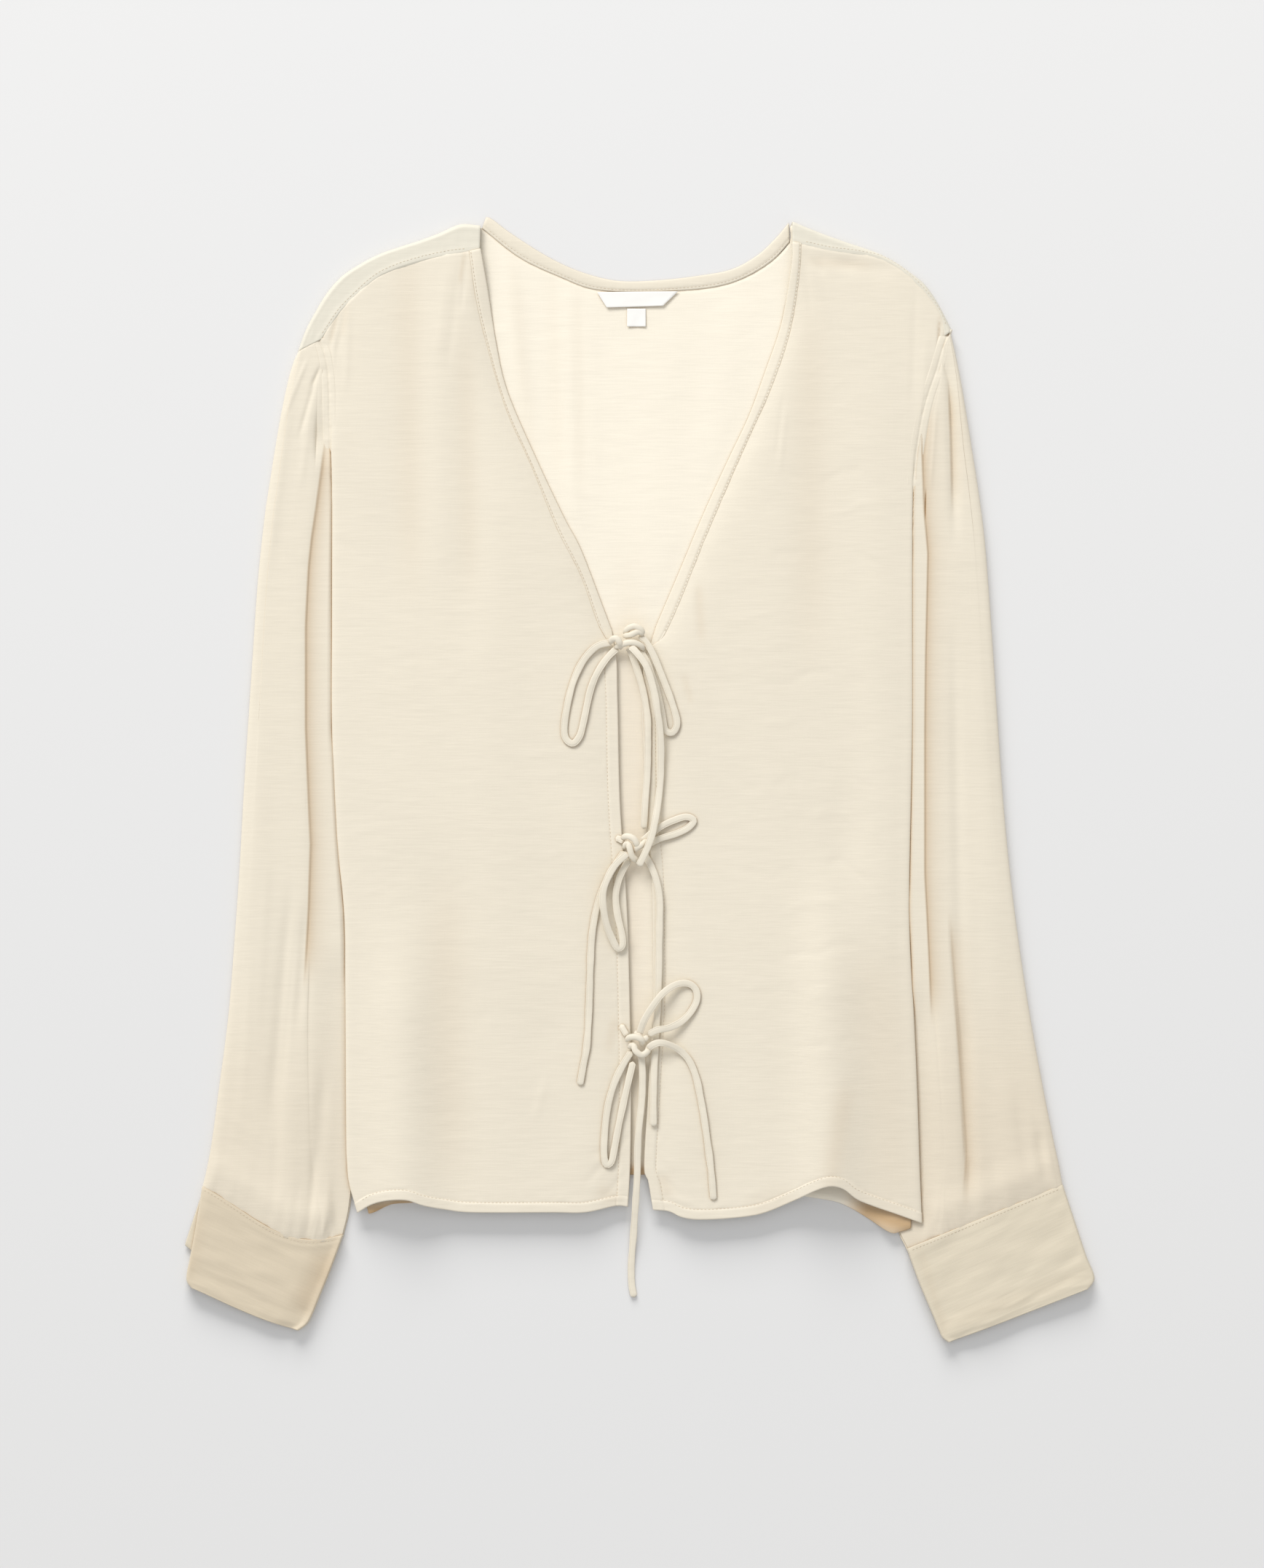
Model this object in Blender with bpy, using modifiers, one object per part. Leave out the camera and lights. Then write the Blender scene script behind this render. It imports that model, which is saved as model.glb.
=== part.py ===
"""V-neck blouse with long cuffed sleeves and three tie bows, laid out flat.

The blouse lies on its back on the plane z = 0 with its neck towards +Y and its
front towards +Z. Every piece of cloth is a wall of one thickness, bent over its
neighbours: the back panel lies lowest and wraps forward over the shoulders, the
two fronts lie on it, and each sleeve lies beside the body with its inner edge
under the body's side. Tables are in millimetres, in the part's own frame.
"""

import math

import bmesh
import bpy
from mathutils import Vector

MM = 0.001

# Driving sizes, in millimetres
WALL = 1.0
BINDING_WALL = 1.4
CUFF_WALL = 1.4
SEAM_GAP = 0.3
FRONT_MID = 5.3
SHOULDER_RADIUS = 2.4
STITCHED_EDGE_DROP = 2.0
STITCHED_EDGE_SPREAD = 16.0
UNDER_SLEEVE_MID = 3.1
TUCKED_MID = 1.8
SLEEVE_MID = 5.3
TIE_DIAMETER = 4.0
TIE_SPACING = 9.0
LABEL_WALL = 1.0

# Rows and columns of the woven surfaces
V_ROWS = 13
CENTRE_ROWS = 15
FRONT_COLUMNS = 15
FRONT_FIRST_COLUMN = 26.0
FRONT_COLUMN_CROWDING = 1.3
BACK_ROWS = 16
BACK_SIDE_COLUMNS = (0.0, 2.2, 4.6, 7.6, 11.0, 16.0)
BACK_CUT_INSET = 0.5
BACK_TURNED_INSET = 7.3
SHOULDER_COLUMNS = 12
SHOULDER_ANGLES = (0.0, 30.0, 60.0, 90.0)
SHOULDER_SHARES = (0.1, 0.3, 0.6, 1.0)
NECK_COLUMNS = 14
BINDING_ROWS = 22

# Outline of the body: x, y
LEFT_SHOULDER_EDGE = (
    (-101.0, 351.0), (-108.0, 353.5), (-122.0, 348.0), (-136.0, 342.5), (-163.0, 333.5),
    (-178.5, 325.5), (-192.5, 315.0), (-203.5, 299.0), (-212.0, 283.0), (-216.0, 271.5),
)
RIGHT_SHOULDER_EDGE = (
    (96.5, 353.5), (112.0, 347.0), (128.5, 341.0), (152.5, 332.5), (169.0, 322.5),
    (181.5, 312.0), (189.5, 299.0), (195.5, 288.0), (197.0, 284.5),
)
LEFT_SHOULDER_SEAM = (
    (-101.5, 336.5), (-118.5, 333.5), (-136.0, 330.0), (-154.0, 324.5), (-168.0, 317.5),
    (-182.0, 305.0), (-191.0, 295.5), (-198.0, 285.0), (-202.5, 278.5),
)
RIGHT_SHOULDER_SEAM = (
    (96.5, 341.0), (120.0, 335.5), (136.0, 333.5), (152.5, 330.0), (165.5, 322.5),
    (178.5, 310.5), (188.0, 298.0), (192.5, 288.5), (193.5, 282.0),
)
LEFT_SIDE = (
    (-202.5, 278.5), (-198.0, 265.5), (-196.0, 248.0), (-196.0, 232.0), (-195.5, 208.0),
    (-195.0, 171.5), (-195.0, 100.0), (-195.0, 33.5), (-192.0, -35.5), (-187.5, -81.5),
    (-186.5, -127.5), (-186.0, -219.5), (-185.5, -240.5), (-184.0, -255.5), (-178.5, -275.5),
)
RIGHT_SIDE = (
    (193.5, 282.0), (189.5, 273.5), (188.0, 263.5), (182.0, 245.0), (177.0, 222.0),
    (173.5, 199.0), (172.5, 171.5), (172.5, 100.0), (172.5, 33.5), (170.5, -81.5),
    (173.5, -150.5), (175.5, -196.5), (177.0, -242.5), (178.5, -279.5),
)

# Sides of the back panel from the sleeve head to the hem: x, y
LEFT_BACK_SIDE = ((-214.4, 272.2), (-199.6, 252.8), (-196.0, 245.0)) + LEFT_SIDE[3:]
RIGHT_BACK_SIDE = ((194.2, 284.8), (188.8, 274.8), (186.8, 264.0)) + RIGHT_SIDE[3:]

# Free edge of each front, from the shoulder seam down the V and the centre front: x, y
LEFT_V_EDGE = (
    (-101.0, 336.0), (-96.5, 310.0), (-90.5, 272.5), (-83.5, 244.5), (-66.0, 204.0),
    (-48.5, 167.0), (-37.5, 146.0), (-23.5, 109.5), (-18.0, 95.0),
)
RIGHT_V_EDGE = (
    (96.5, 340.5), (96.0, 325.5), (90.0, 290.5), (79.5, 259.0), (69.0, 230.5),
    (56.5, 204.0), (40.5, 169.0), (25.0, 132.0), (10.5, 98.0),
)
LEFT_V_STITCH = (
    (-108.0, 334.5), (-103.0, 301.0), (-94.0, 265.5), (-83.5, 232.0), (-69.5, 201.0),
    (-52.0, 158.5), (-37.5, 130.0), (-25.5, 97.0),
)
RIGHT_V_STITCH = (
    (102.0, 339.5), (100.5, 316.5), (94.5, 282.0), (83.0, 248.0), (70.5, 220.0),
    (56.5, 188.5), (40.5, 151.0), (26.5, 116.0), (15.5, 92.0),
)
LEFT_CENTRE = (
    (-16.0, 81.0), (-14.5, 52.0), (-13.0, -13.0), (-8.5, -82.5), (-6.5, -154.0),
    (-6.0, -201.0), (-6.5, -242.5), (-8.0, -269.0),
)
RIGHT_CENTRE = (
    (2.5, 72.0), (3.5, -12.5), (7.5, -56.5), (8.5, -104.5), (8.5, -141.5),
    (5.5, -196.5), (3.0, -243.5), (5.5, -253.0), (8.5, -271.0),
)

# Hems: x, y
LEFT_HEM = (
    (-178.5, -275.5), (-170.0, -270.0), (-159.0, -266.0), (-147.5, -265.0), (-136.5, -268.0),
    (-123.5, -270.5), (-105.5, -272.5), (-56.0, -272.5), (-35.0, -272.5), (-15.5, -268.5),
    (-8.0, -269.0),
)
RIGHT_HEM = (
    (178.5, -279.5), (162.0, -273.5), (149.0, -269.0), (137.0, -264.0), (128.5, -257.5),
    (120.5, -255.5), (111.5, -258.0), (97.0, -265.0), (77.5, -273.0), (58.5, -276.0),
    (37.0, -277.0), (26.0, -275.5), (18.5, -272.0), (8.5, -271.0),
)
BACK_HEM = (
    (-178.5, -276.0), (-169.0, -276.0), (-155.0, -270.0), (-128.5, -268.5), (-82.5, -259.0),
    (-36.5, -248.0), (-1.5, -244.5), (32.5, -248.0), (78.5, -257.5), (111.0, -263.5),
    (134.0, -268.0), (153.5, -281.5), (159.0, -286.0), (168.0, -284.0), (178.5, -279.5),
)

# Back neck binding, upper and lower edge: x, y
NECK_UPPER = (
    (-97.0, 356.5), (-93.0, 354.5), (-81.0, 345.5), (-58.0, 331.0), (-37.0, 321.5),
    (-14.0, 316.0), (12.5, 316.5), (39.0, 319.5), (58.5, 323.5), (74.0, 332.0),
    (84.5, 341.5), (91.5, 349.5), (94.0, 352.5),
)
NECK_LOWER = (
    (-99.5, 349.5), (-75.5, 331.0), (-49.0, 318.5), (-30.0, 311.5), (-5.0, 309.5),
    (25.0, 310.5), (48.0, 313.0), (65.5, 318.5), (83.0, 329.0), (94.5, 341.0),
)

# How far each body side is turned under, and how far the sleeve is tucked below it:
# y, turn from 0 (cut edge at the armhole) to 1, tuck
LEFT_SIDE_TURN = (
    (300.0, 0.0, 0.0), (232.0, 0.0, 0.0), (212.0, 1.0, 0.0), (190.0, 1.0, 5.0),
    (-255.0, 1.0, 5.0), (-300.0, 1.0, 5.0),
)
RIGHT_SIDE_TURN = (
    (300.0, 0.0, 0.0), (212.0, 0.0, 0.0), (190.0, 1.0, 0.0), (165.0, 1.0, 5.0),
    (-195.0, 1.0, 5.5), (-240.0, 1.0, 12.5), (-268.0, 1.0, 18.0), (-290.0, 1.0, 18.0),
)

# Section of a front's side: distance in from the side and height of the wall's middle,
# first as a cut edge at the armhole, then turned under over the sleeve
FRONT_SIDE_SECTION = (
    (0.5, 3.4, 7.0, 3.1), (0.8, 3.9, 4.0, 3.05), (1.4, 4.3, 1.6, 3.15), (2.2, 4.6, 0.5, 3.9),
    (3.5, 4.85, 1.6, 4.75), (6.0, 5.1, 4.5, 5.2), (10.0, 5.25, 10.0, 5.3), (16.0, 5.3, 17.0, 5.3),
)

# Folds of the fronts: start x, y, end x, y, half width, height
FRONT_FOLDS = (
    (-147.0, 330.0, -149.0, 130.0, 17.0, -1.0),
    (-110.0, 270.0, -108.0, 110.0, 13.0, -1.1),
    (-128.0, 300.0, -126.0, 150.0, 12.0, 0.6),
    (-128.0, -70.0, -120.0, -250.0, 20.0, -1.1),
    (-62.0, -150.0, -60.0, -250.0, 20.0, -0.7),
    (-148.0, -215.0, -147.0, -300.0, 20.0, 5.5),
    (-92.0, 150.0, -92.0, -120.0, 20.0, 0.8),
    (110.0, 290.0, 108.0, 90.0, 17.0, -1.0),
    (150.0, 230.0, 152.0, -200.0, 14.0, 0.9),
    (82.0, 120.0, 80.0, -160.0, 24.0, 0.7),
    (130.0, -10.0, 124.0, -180.0, 12.0, -0.8),
    (121.0, -200.0, 120.5, -300.0, 20.0, 7.0),
    (52.0, -170.0, 56.0, -260.0, 18.0, -0.8),
)

# Folds of the sleeves: start x, y, end x, y, half width, height
SLEEVE_FOLDS = (
    (-224.0, 245.0, -236.0, 140.0, 5.0, 0.8),
    (-222.0, -85.0, -232.0, -205.0, 4.0, -1.3),
    (-212.0, -90.0, -216.0, -150.0, 4.0, -1.2),
    (-240.0, 20.0, -246.0, -180.0, 9.0, 0.7),
    (-200.0, -190.0, -206.0, -260.0, 5.0, -1.2),
    (-220.0, -190.0, -224.0, -280.0, 8.0, 1.0),
    (196.0, 255.0, 199.0, 165.0, 3.5, -1.6),
    (199.0, 60.0, 204.0, -190.0, 4.0, -0.9),
    (206.0, -150.0, 208.0, -262.0, 4.0, -1.7),
    (215.0, 60.0, 226.0, -170.0, 9.0, 0.7),
    (252.0, -225.0, 256.0, -250.0, 3.0, -1.0),
    (230.0, -190.0, 236.0, -255.0, 8.0, 0.9),
)

# Stations of the sleeves from the sleeve head to the cuff seam: outer x, y, inner x, y,
# valley (distance of the lengthwise valley from the inner edge), depth of the valley from
# 0 to 1, thinness of the inner edge from 0 to 1 (1 where it lies under the body), tuck
# (width under the body), bow of the section, drop of the lower layer at the armhole
LEFT_SLEEVE = (
    (-216.4, 270.0, -203.6, 276.6, 2.0, 0.0, 0.0, 0.0, 0.0, 27.0),
    (-218.9, 264.4, -200.4, 267.2, 3.0, 0.1, 0.0, 0.0, 0.0, 21.0),
    (-222.0, 254.0, -198.2, 256.0, 5.0, 0.3, 0.0, 0.0, 0.0, 14.0),
    (-226.3, 234.0, -197.1, 236.0, 7.0, 0.6, 0.2, 0.0, 0.0, 0.0),
    (-230.0, 213.0, -196.8, 214.0, 8.0, 0.9, 1.0, 0.0, 0.0, 0.0),
    (-234.0, 188.0, -191.0, 188.0, 14.5, 1.0, 1.0, 5.0, 0.0, 0.0),
    (-237.5, 164.0, -190.0, 164.0, 18.0, 1.0, 1.0, 5.0, 0.0, 0.0),
    (-241.5, 125.0, -190.0, 125.0, 20.0, 1.0, 1.0, 5.0, 0.0, 0.0),
    (-244.5, 82.0, -190.0, 82.0, 21.5, 1.0, 1.0, 5.0, 0.0, 0.0),
    (-247.5, 37.0, -190.0, 37.0, 21.0, 1.0, 1.0, 5.0, 0.0, 0.0),
    (-250.5, -10.0, -188.6, -10.0, 22.0, 1.0, 1.0, 5.0, 0.0, 0.0),
    (-253.0, -55.0, -185.6, -55.0, 24.0, 0.9, 1.0, 5.0, 0.0, 0.0),
    (-256.0, -98.0, -182.3, -102.0, 26.0, 0.65, 1.0, 5.0, 0.0, 0.0),
    (-260.0, -148.0, -181.4, -154.0, 28.0, 0.3, 1.0, 5.0, 1.0, 0.0),
    (-265.8, -193.0, -181.0, -202.0, 28.0, 0.15, 1.0, 5.0, 3.0, 0.0),
    (-270.5, -228.0, -181.5, -240.0, 26.0, 0.1, 1.0, 5.0, 7.0, 0.0),
    (-274.0, -247.0, -184.5, -270.0, 18.0, 0.1, 1.0, 3.0, 11.0, 0.0),
    (-276.2, -256.0, -188.0, -286.5, 14.0, 0.1, 0.8, 1.0, 12.5, 0.0),
)
RIGHT_SLEEVE = (
    (198.2, 283.0, 191.7, 273.0, 2.0, 0.0, 0.0, 0.0, 0.0, 0.0),
    (199.8, 272.0, 189.2, 265.6, 2.5, 0.1, 0.0, 0.0, 0.0, 0.0),
    (203.0, 251.0, 185.2, 250.0, 4.0, 0.3, 0.0, 0.0, 0.0, 0.0),
    (206.5, 230.0, 179.9, 230.0, 5.0, 0.6, 0.0, 0.0, 0.0, 0.0),
    (210.0, 208.0, 175.8, 209.0, 5.5, 0.9, 0.2, 0.0, 0.0, 0.0),
    (214.0, 182.0, 173.2, 186.0, 8.0, 1.0, 1.0, 0.0, 0.0, 0.0),
    (217.5, 155.0, 167.6, 156.0, 13.0, 1.0, 1.0, 5.0, 0.0, 0.0),
    (220.0, 125.0, 167.5, 125.0, 13.5, 1.0, 1.0, 5.0, 0.0, 0.0),
    (223.0, 83.0, 167.5, 83.0, 13.5, 1.0, 1.0, 5.0, 0.0, 0.0),
    (226.0, 37.0, 167.5, 37.0, 13.5, 1.0, 1.0, 5.0, 0.0, 0.0),
    (229.5, -13.0, 167.0, -13.0, 14.0, 1.0, 1.0, 5.0, 0.0, 0.0),
    (234.0, -60.0, 166.0, -60.0, 15.0, 0.9, 1.0, 5.0, 0.0, 0.0),
    (240.0, -107.0, 166.5, -107.0, 16.0, 0.7, 1.0, 5.0, 0.0, 0.0),
    (247.0, -152.0, 168.6, -152.0, 18.0, 0.35, 1.0, 5.0, 0.0, 0.0),
    (255.0, -196.0, 170.3, -200.0, 20.0, 0.15, 1.0, 5.5, 0.0, 0.0),
    (261.0, -226.0, 167.0, -240.0, 26.0, 0.1, 1.0, 11.0, 0.0, 0.0),
    (264.5, -242.0, 162.5, -270.0, 30.0, 0.1, 1.0, 17.0, 0.0, 0.0),
    (265.8, -249.5, 164.6, -284.5, 28.0, 0.1, 1.0, 16.0, 0.0, 0.0),
    (266.8, -255.0, 169.4, -295.4, 22.0, 0.1, 0.9, 6.0, 0.0, 0.0),
)

# Stations of the cuffs from the seam to the free edge: outer x, y, inner x, y, bow
LEFT_CUFF = (
    (-276.5, -256.8, -188.0, -287.4, 12.5),
    (-280.5, -282.0, -195.5, -308.0, 8.0),
    (-284.5, -303.0, -203.5, -328.0, 5.0),
    (-286.5, -315.0, -209.5, -342.5, 3.0),
    (-283.5, -321.5, -212.5, -348.5, 1.5),
)
RIGHT_CUFF = (
    (267.0, -255.6, 169.2, -296.1, 0.0),
    (275.0, -280.0, 177.0, -317.5, 0.0),
    (282.0, -301.0, 185.0, -336.5, 0.0),
    (287.3, -315.0, 191.3, -351.5, 0.0),
    (284.5, -320.8, 193.8, -355.0, 0.5),
)
CUFF_HEIGHT = 3.6

# Neck label and size tag: corner x, y
LABEL_CORNERS = ((-21.0, 299.5), (14.5, 300.5), (24.0, 309.6), (-27.0, 309.0))
TAG_CORNERS = ((-8.0, 287.5), (3.5, 287.5), (3.5, 298.6), (-8.0, 298.6))

# Knots: x, y, z, half length, half width, half height, turn in degrees
KNOTS = {
    "top": (-9.5, 89.5, 7.6, 7.5, 4.6, 3.2, 12.0),
    "middle": (-3.5, -42.0, 7.4, 6.5, 5.2, 3.2, -30.0),
    "bottom": (-2.0, -166.0, 7.4, 6.5, 5.2, 3.2, -35.0),
}

# Ties: the centre line's route as x, y, z
TIES = {
    "tie_top_loop_left": (
        (-17.7, 87.6, 7.6), (-27.0, 85.0, 7.9), (-35.0, 77.0, 8.0), (-41.0, 65.5, 8.1),
        (-45.0, 52.0, 8.1), (-47.7, 35.5, 8.1), (-47.0, 27.0, 8.1), (-42.5, 23.5, 8.1),
        (-38.2, 28.0, 8.1), (-35.7, 37.0, 8.1), (-31.5, 56.5, 8.0), (-27.0, 68.0, 7.8),
        (-20.8, 77.4, 7.4), (-14.0, 84.2, 7.1),
    ),
    "tie_top_loop_right": (
        (-0.4, 91.6, 8.0), (4.4, 86.6, 8.2), (8.6, 79.0, 8.3), (14.5, 64.5, 8.3),
        (20.5, 48.5, 8.3), (23.4, 36.5, 8.3), (20.6, 30.5, 8.3), (16.0, 32.0, 8.3),
        (14.2, 40.0, 8.3), (12.0, 52.0, 8.3), (8.4, 64.0, 8.2), (4.0, 75.5, 7.9),
        (-2.2, 85.4, 7.0),
    ),
    "tie_top_tail_front": (
        (-6.4, 85.2, 10.6), (-1.8, 80.4, 11.9), (4.0, 72.0, 12.6), (8.5, 58.0, 12.7),
        (11.0, 43.5, 12.6), (13.0, 27.5, 11.0), (13.0, 3.0, 8.6), (11.5, -13.0, 8.8),
        (9.4, -26.0, 11.7), (7.0, -36.0, 13.0), (3.0, -46.0, 13.0), (-1.0, -54.0, 12.6),
    ),
    "tie_top_tail_back": (
        (-7.4, 84.8, 5.4), (-3.4, 75.0, 6.2), (1.0, 61.0, 6.6), (4.2, 45.0, 6.9),
        (5.0, 30.0, 7.2), (4.6, 5.0, 7.2), (3.4, -12.5, 7.2), (2.4, -30.5, 7.2),
    ),
    "tie_middle_loop_right": (
        (1.0, -38.6, 8.6), (8.0, -32.6, 8.2), (15.0, -28.0, 8.0), (21.5, -25.0, 8.1),
        (29.0, -22.8, 8.1), (34.0, -25.0, 8.1), (30.5, -29.6, 8.1), (24.0, -33.0, 8.1),
        (18.0, -35.0, 8.0), (11.5, -37.0, 7.8), (4.6, -40.6, 7.2),
    ),
    "tie_middle_loop_left": (
        (-7.2, -45.4, 10.8), (-15.5, -53.0, 11.9), (-20.5, -61.5, 12.6), (-23.3, -71.0, 12.7),
        (-23.0, -81.0, 12.4), (-20.8, -91.5, 10.8), (-17.4, -100.0, 9.2), (-14.0, -106.0, 8.4),
        (-11.0, -103.5, 8.2), (-11.6, -96.0, 8.2), (-14.2, -85.0, 8.2), (-15.4, -73.0, 8.2),
        (-13.4, -62.5, 8.1), (-10.0, -55.0, 7.6), (-6.6, -49.2, 6.8),
    ),
    "tie_middle_tail_left": (
        (-9.8, -44.6, 6.0), (-16.0, -54.0, 6.8), (-22.0, -65.0, 7.9), (-26.5, -77.0, 8.1),
        (-29.5, -91.5, 8.1), (-31.0, -107.5, 8.1), (-32.0, -139.5, 8.1), (-33.5, -166.5, 8.1),
        (-36.0, -181.0, 8.1), (-38.0, -192.5, 8.1),
    ),
    "tie_middle_tail_right": (
        (2.6, -46.4, 7.0), (7.0, -54.0, 7.6), (10.5, -63.5, 8.0), (12.5, -77.0, 8.1),
        (12.2, -95.5, 8.1), (11.7, -127.5, 8.1), (10.7, -150.5, 7.7), (9.6, -169.0, 7.6),
        (8.7, -192.0, 7.8), (8.4, -218.5, 7.8),
    ),
    "tie_bottom_loop_right": (
        (-0.6, -160.6, 9.4), (2.4, -151.6, 11.6), (7.5, -143.0, 12.6), (14.5, -134.0, 12.2),
        (22.5, -128.8, 10.0), (30.0, -128.0, 8.6), (35.0, -131.5, 8.2), (36.0, -138.0, 8.2),
        (32.5, -145.5, 8.4), (26.5, -151.8, 9.4), (18.5, -155.8, 11.6), (11.0, -157.2, 12.6),
        (5.0, -160.2, 11.2),
    ),
    "tie_bottom_tail_right": (
        (4.6, -169.6, 10.6), (8.0, -166.6, 12.4), (13.0, -165.2, 12.6), (19.5, -167.0, 11.0),
        (26.0, -171.0, 9.0), (31.5, -177.5, 8.2), (35.5, -187.5, 8.1), (38.0, -199.0, 8.1),
        (40.5, -213.0, 8.0), (43.0, -231.0, 7.9), (45.0, -247.0, 7.9), (46.5, -265.0, 7.9),
    ),
    "tie_bottom_loop_left": (
        (-5.4, -171.0, 7.6), (-11.0, -180.0, 7.8), (-16.0, -190.5, 7.9), (-20.0, -204.0, 7.9),
        (-22.0, -219.0, 7.8), (-22.8, -233.5, 7.7), (-21.6, -242.0, 7.6), (-18.2, -241.0, 7.6),
        (-16.2, -232.5, 7.6), (-13.4, -217.5, 7.6), (-10.2, -202.5, 7.4), (-7.2, -189.5, 7.2),
        (-4.4, -177.5, 7.0),
    ),
    "tie_bottom_tail_centre": (
        (0.7, -171.8, 7.2), (1.6, -185.0, 7.2), (1.2, -201.0, 7.0), (-0.6, -219.0, 6.8),
        (-1.4, -232.0, 6.6), (-1.8, -250.0, 6.4), (-3.0, -270.0, 5.6), (-4.2, -288.0, 3.4),
        (-5.5, -306.0, 2.3), (-5.2, -319.0, 2.1), (-3.6, -327.0, 2.1),
    ),
}

# Short stretches of tie between a front's edge and its knot: x, y, z
TIE_ROOTS = {
    "tie_root_middle_left": ((-15.5, -36.0, 5.9), (-12.8, -36.9, 6.6), (-9.9, -38.6, 7.4)),
    "tie_root_bottom_left": ((-12.2, -154.0, 5.9), (-10.4, -157.4, 6.6), (-7.8, -161.6, 7.3)),
}

COLLECTION_NAME = "blouse"

# Colours: red, green, blue, roughness
CREAM_FRONT = (0.855, 0.793, 0.672, 0.55)
CREAM_BACK = (0.862, 0.800, 0.690, 0.55)
CREAM_SLEEVE = (0.840, 0.775, 0.655, 0.55)
CREAM_TIE = (0.850, 0.785, 0.665, 0.5)
WHITE_LABEL = (0.90, 0.89, 0.86, 0.6)


def clear_scene():
    """Remove every object of the open scene."""
    for item in list(bpy.data.objects):
        bpy.data.objects.remove(item, do_unlink=True)


def make_material(name, colour):
    """One Principled material of plain colour."""
    material = bpy.data.materials.new(name)
    material.use_nodes = True
    shader = material.node_tree.nodes["Principled BSDF"]
    shader.inputs["Base Color"].default_value = (colour[0], colour[1], colour[2], 1.0)
    shader.inputs["Roughness"].default_value = colour[3]
    shader.inputs["Metallic"].default_value = 0.0
    return material


def smoothstep(low, high, value):
    """Ease from 0 at low to 1 at high."""
    t = min(1.0, max(0.0, (value - low) / (high - low)))
    return t * t * (3.0 - 2.0 * t)


class Line:
    """A smooth line through hand-measured points, read by its share of length."""

    STEPS = 8

    def __init__(self, points):
        knots = [Vector(point) for point in points]
        first = knots[0] * 2.0 - knots[1]
        last = knots[-1] * 2.0 - knots[-2]
        padded = [first] + knots + [last]
        self.points = [knots[0]]
        for index in range(len(knots) - 1):
            a, b, c, d = padded[index:index + 4]
            for step in range(1, self.STEPS + 1):
                t = step / self.STEPS
                curve = 2.0 * b + (c - a) * t
                curve += (2.0 * a - 5.0 * b + 4.0 * c - d) * t * t
                curve += (3.0 * b - a - 3.0 * c + d) * t * t * t
                self.points.append(curve * 0.5)
        self.lengths = [0.0]
        for start, end in zip(self.points, self.points[1:]):
            self.lengths.append(self.lengths[-1] + (end - start).length)
        self.length = self.lengths[-1]

    def at(self, share):
        """Point at a share of the line's length."""
        target = min(1.0, max(0.0, share)) * self.length
        index = 1
        while index < len(self.lengths) - 1 and self.lengths[index] < target:
            index += 1
        span = self.lengths[index] - self.lengths[index - 1]
        t = (target - self.lengths[index - 1]) / span
        return self.points[index - 1].lerp(self.points[index], t)

    def share_of(self, index):
        """Share of the length at one of the given points."""
        return self.lengths[index * self.STEPS] / self.length

    def distance(self, x, y):
        """Distance in plan from a point to the line."""
        best = 1.0e9
        point = Vector((x, y))
        for start, end in zip(self.points, self.points[1:]):
            run = end - start
            t = (point - start).dot(run) / run.length_squared
            t = min(1.0, max(0.0, t))
            best = min(best, (start + run * t - point).length)
        return best


def read_table(table, key, column):
    """Value of a column at a key, with rows in falling order of their first column."""
    if key >= table[0][0]:
        return table[0][column]
    for upper, lower in zip(table, table[1:]):
        if key >= lower[0]:
            t = (upper[0] - key) / (upper[0] - lower[0])
            return upper[column] + (lower[column] - upper[column]) * smoothstep(0.0, 1.0, t)
    return table[-1][column]


def fold_height(folds, x, y):
    """Sum of the soft folds at a point."""
    total = 0.0
    for x0, y0, x1, y1, half_width, height in folds:
        run = Vector((x1 - x0, y1 - y0))
        length = run.length
        run /= length
        offset = Vector((x - x0, y - y0))
        along = offset.dot(run)
        across = offset.x * run.y - offset.y * run.x
        fade = smoothstep(-0.25 * length, 0.2 * length, along)
        fade *= smoothstep(1.25 * length, 0.8 * length, along)
        total += height * fade * math.exp(-(across / half_width) ** 2)
    return total


class Front:
    """Outline and height of one front panel."""

    def __init__(self, side, seam, v_edge, v_stitch, centre, hem, turn):
        self.side = Line(side)
        self.seam = Line((v_stitch[0],) + tuple(seam[1:]))
        self.v_edge = Line(v_edge)
        self.inner = Line(tuple(v_stitch) + tuple(centre))
        self.stitched_share = self.inner.share_of(len(v_stitch) - 1)
        self.free_edge = Line(tuple(v_edge) + tuple(centre))
        self.hem = Line(hem)
        self.turn = turn

    def height(self, x, y):
        """Height of the middle of the wall, away from the side."""
        edge = self.free_edge.distance(x, y)
        drop = STITCHED_EDGE_DROP * math.exp(-(edge / STITCHED_EDGE_SPREAD) ** 2)
        drop *= smoothstep(335.0, 270.0, y)
        return FRONT_MID - drop + fold_height(FRONT_FOLDS, x, y)

    def plan(self, across, down):
        """Point in plan at shares across (from the side) and down (from the seam)."""
        seam = self.seam.at(1.0 - across)
        hem = self.hem.at(across)
        side = self.side.at(down)
        inner = self.inner.at(down)
        corner_a = self.side.at(0.0).lerp(self.inner.at(0.0), across)
        corner_b = self.side.at(1.0).lerp(self.inner.at(1.0), across)
        ruled = seam.lerp(hem, down) + side.lerp(inner, across)
        return ruled - corner_a.lerp(corner_b, down)

    def width(self, down):
        """Width of the panel in plan at a share of its length."""
        return (self.side.at(down) - self.inner.at(down)).length


LEFT = Front(LEFT_SIDE, LEFT_SHOULDER_SEAM, LEFT_V_EDGE, LEFT_V_STITCH, LEFT_CENTRE,
             LEFT_HEM, LEFT_SIDE_TURN)
RIGHT = Front(RIGHT_SIDE, RIGHT_SHOULDER_SEAM, RIGHT_V_EDGE, RIGHT_V_STITCH, RIGHT_CENTRE,
              RIGHT_HEM, RIGHT_SIDE_TURN)


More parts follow.
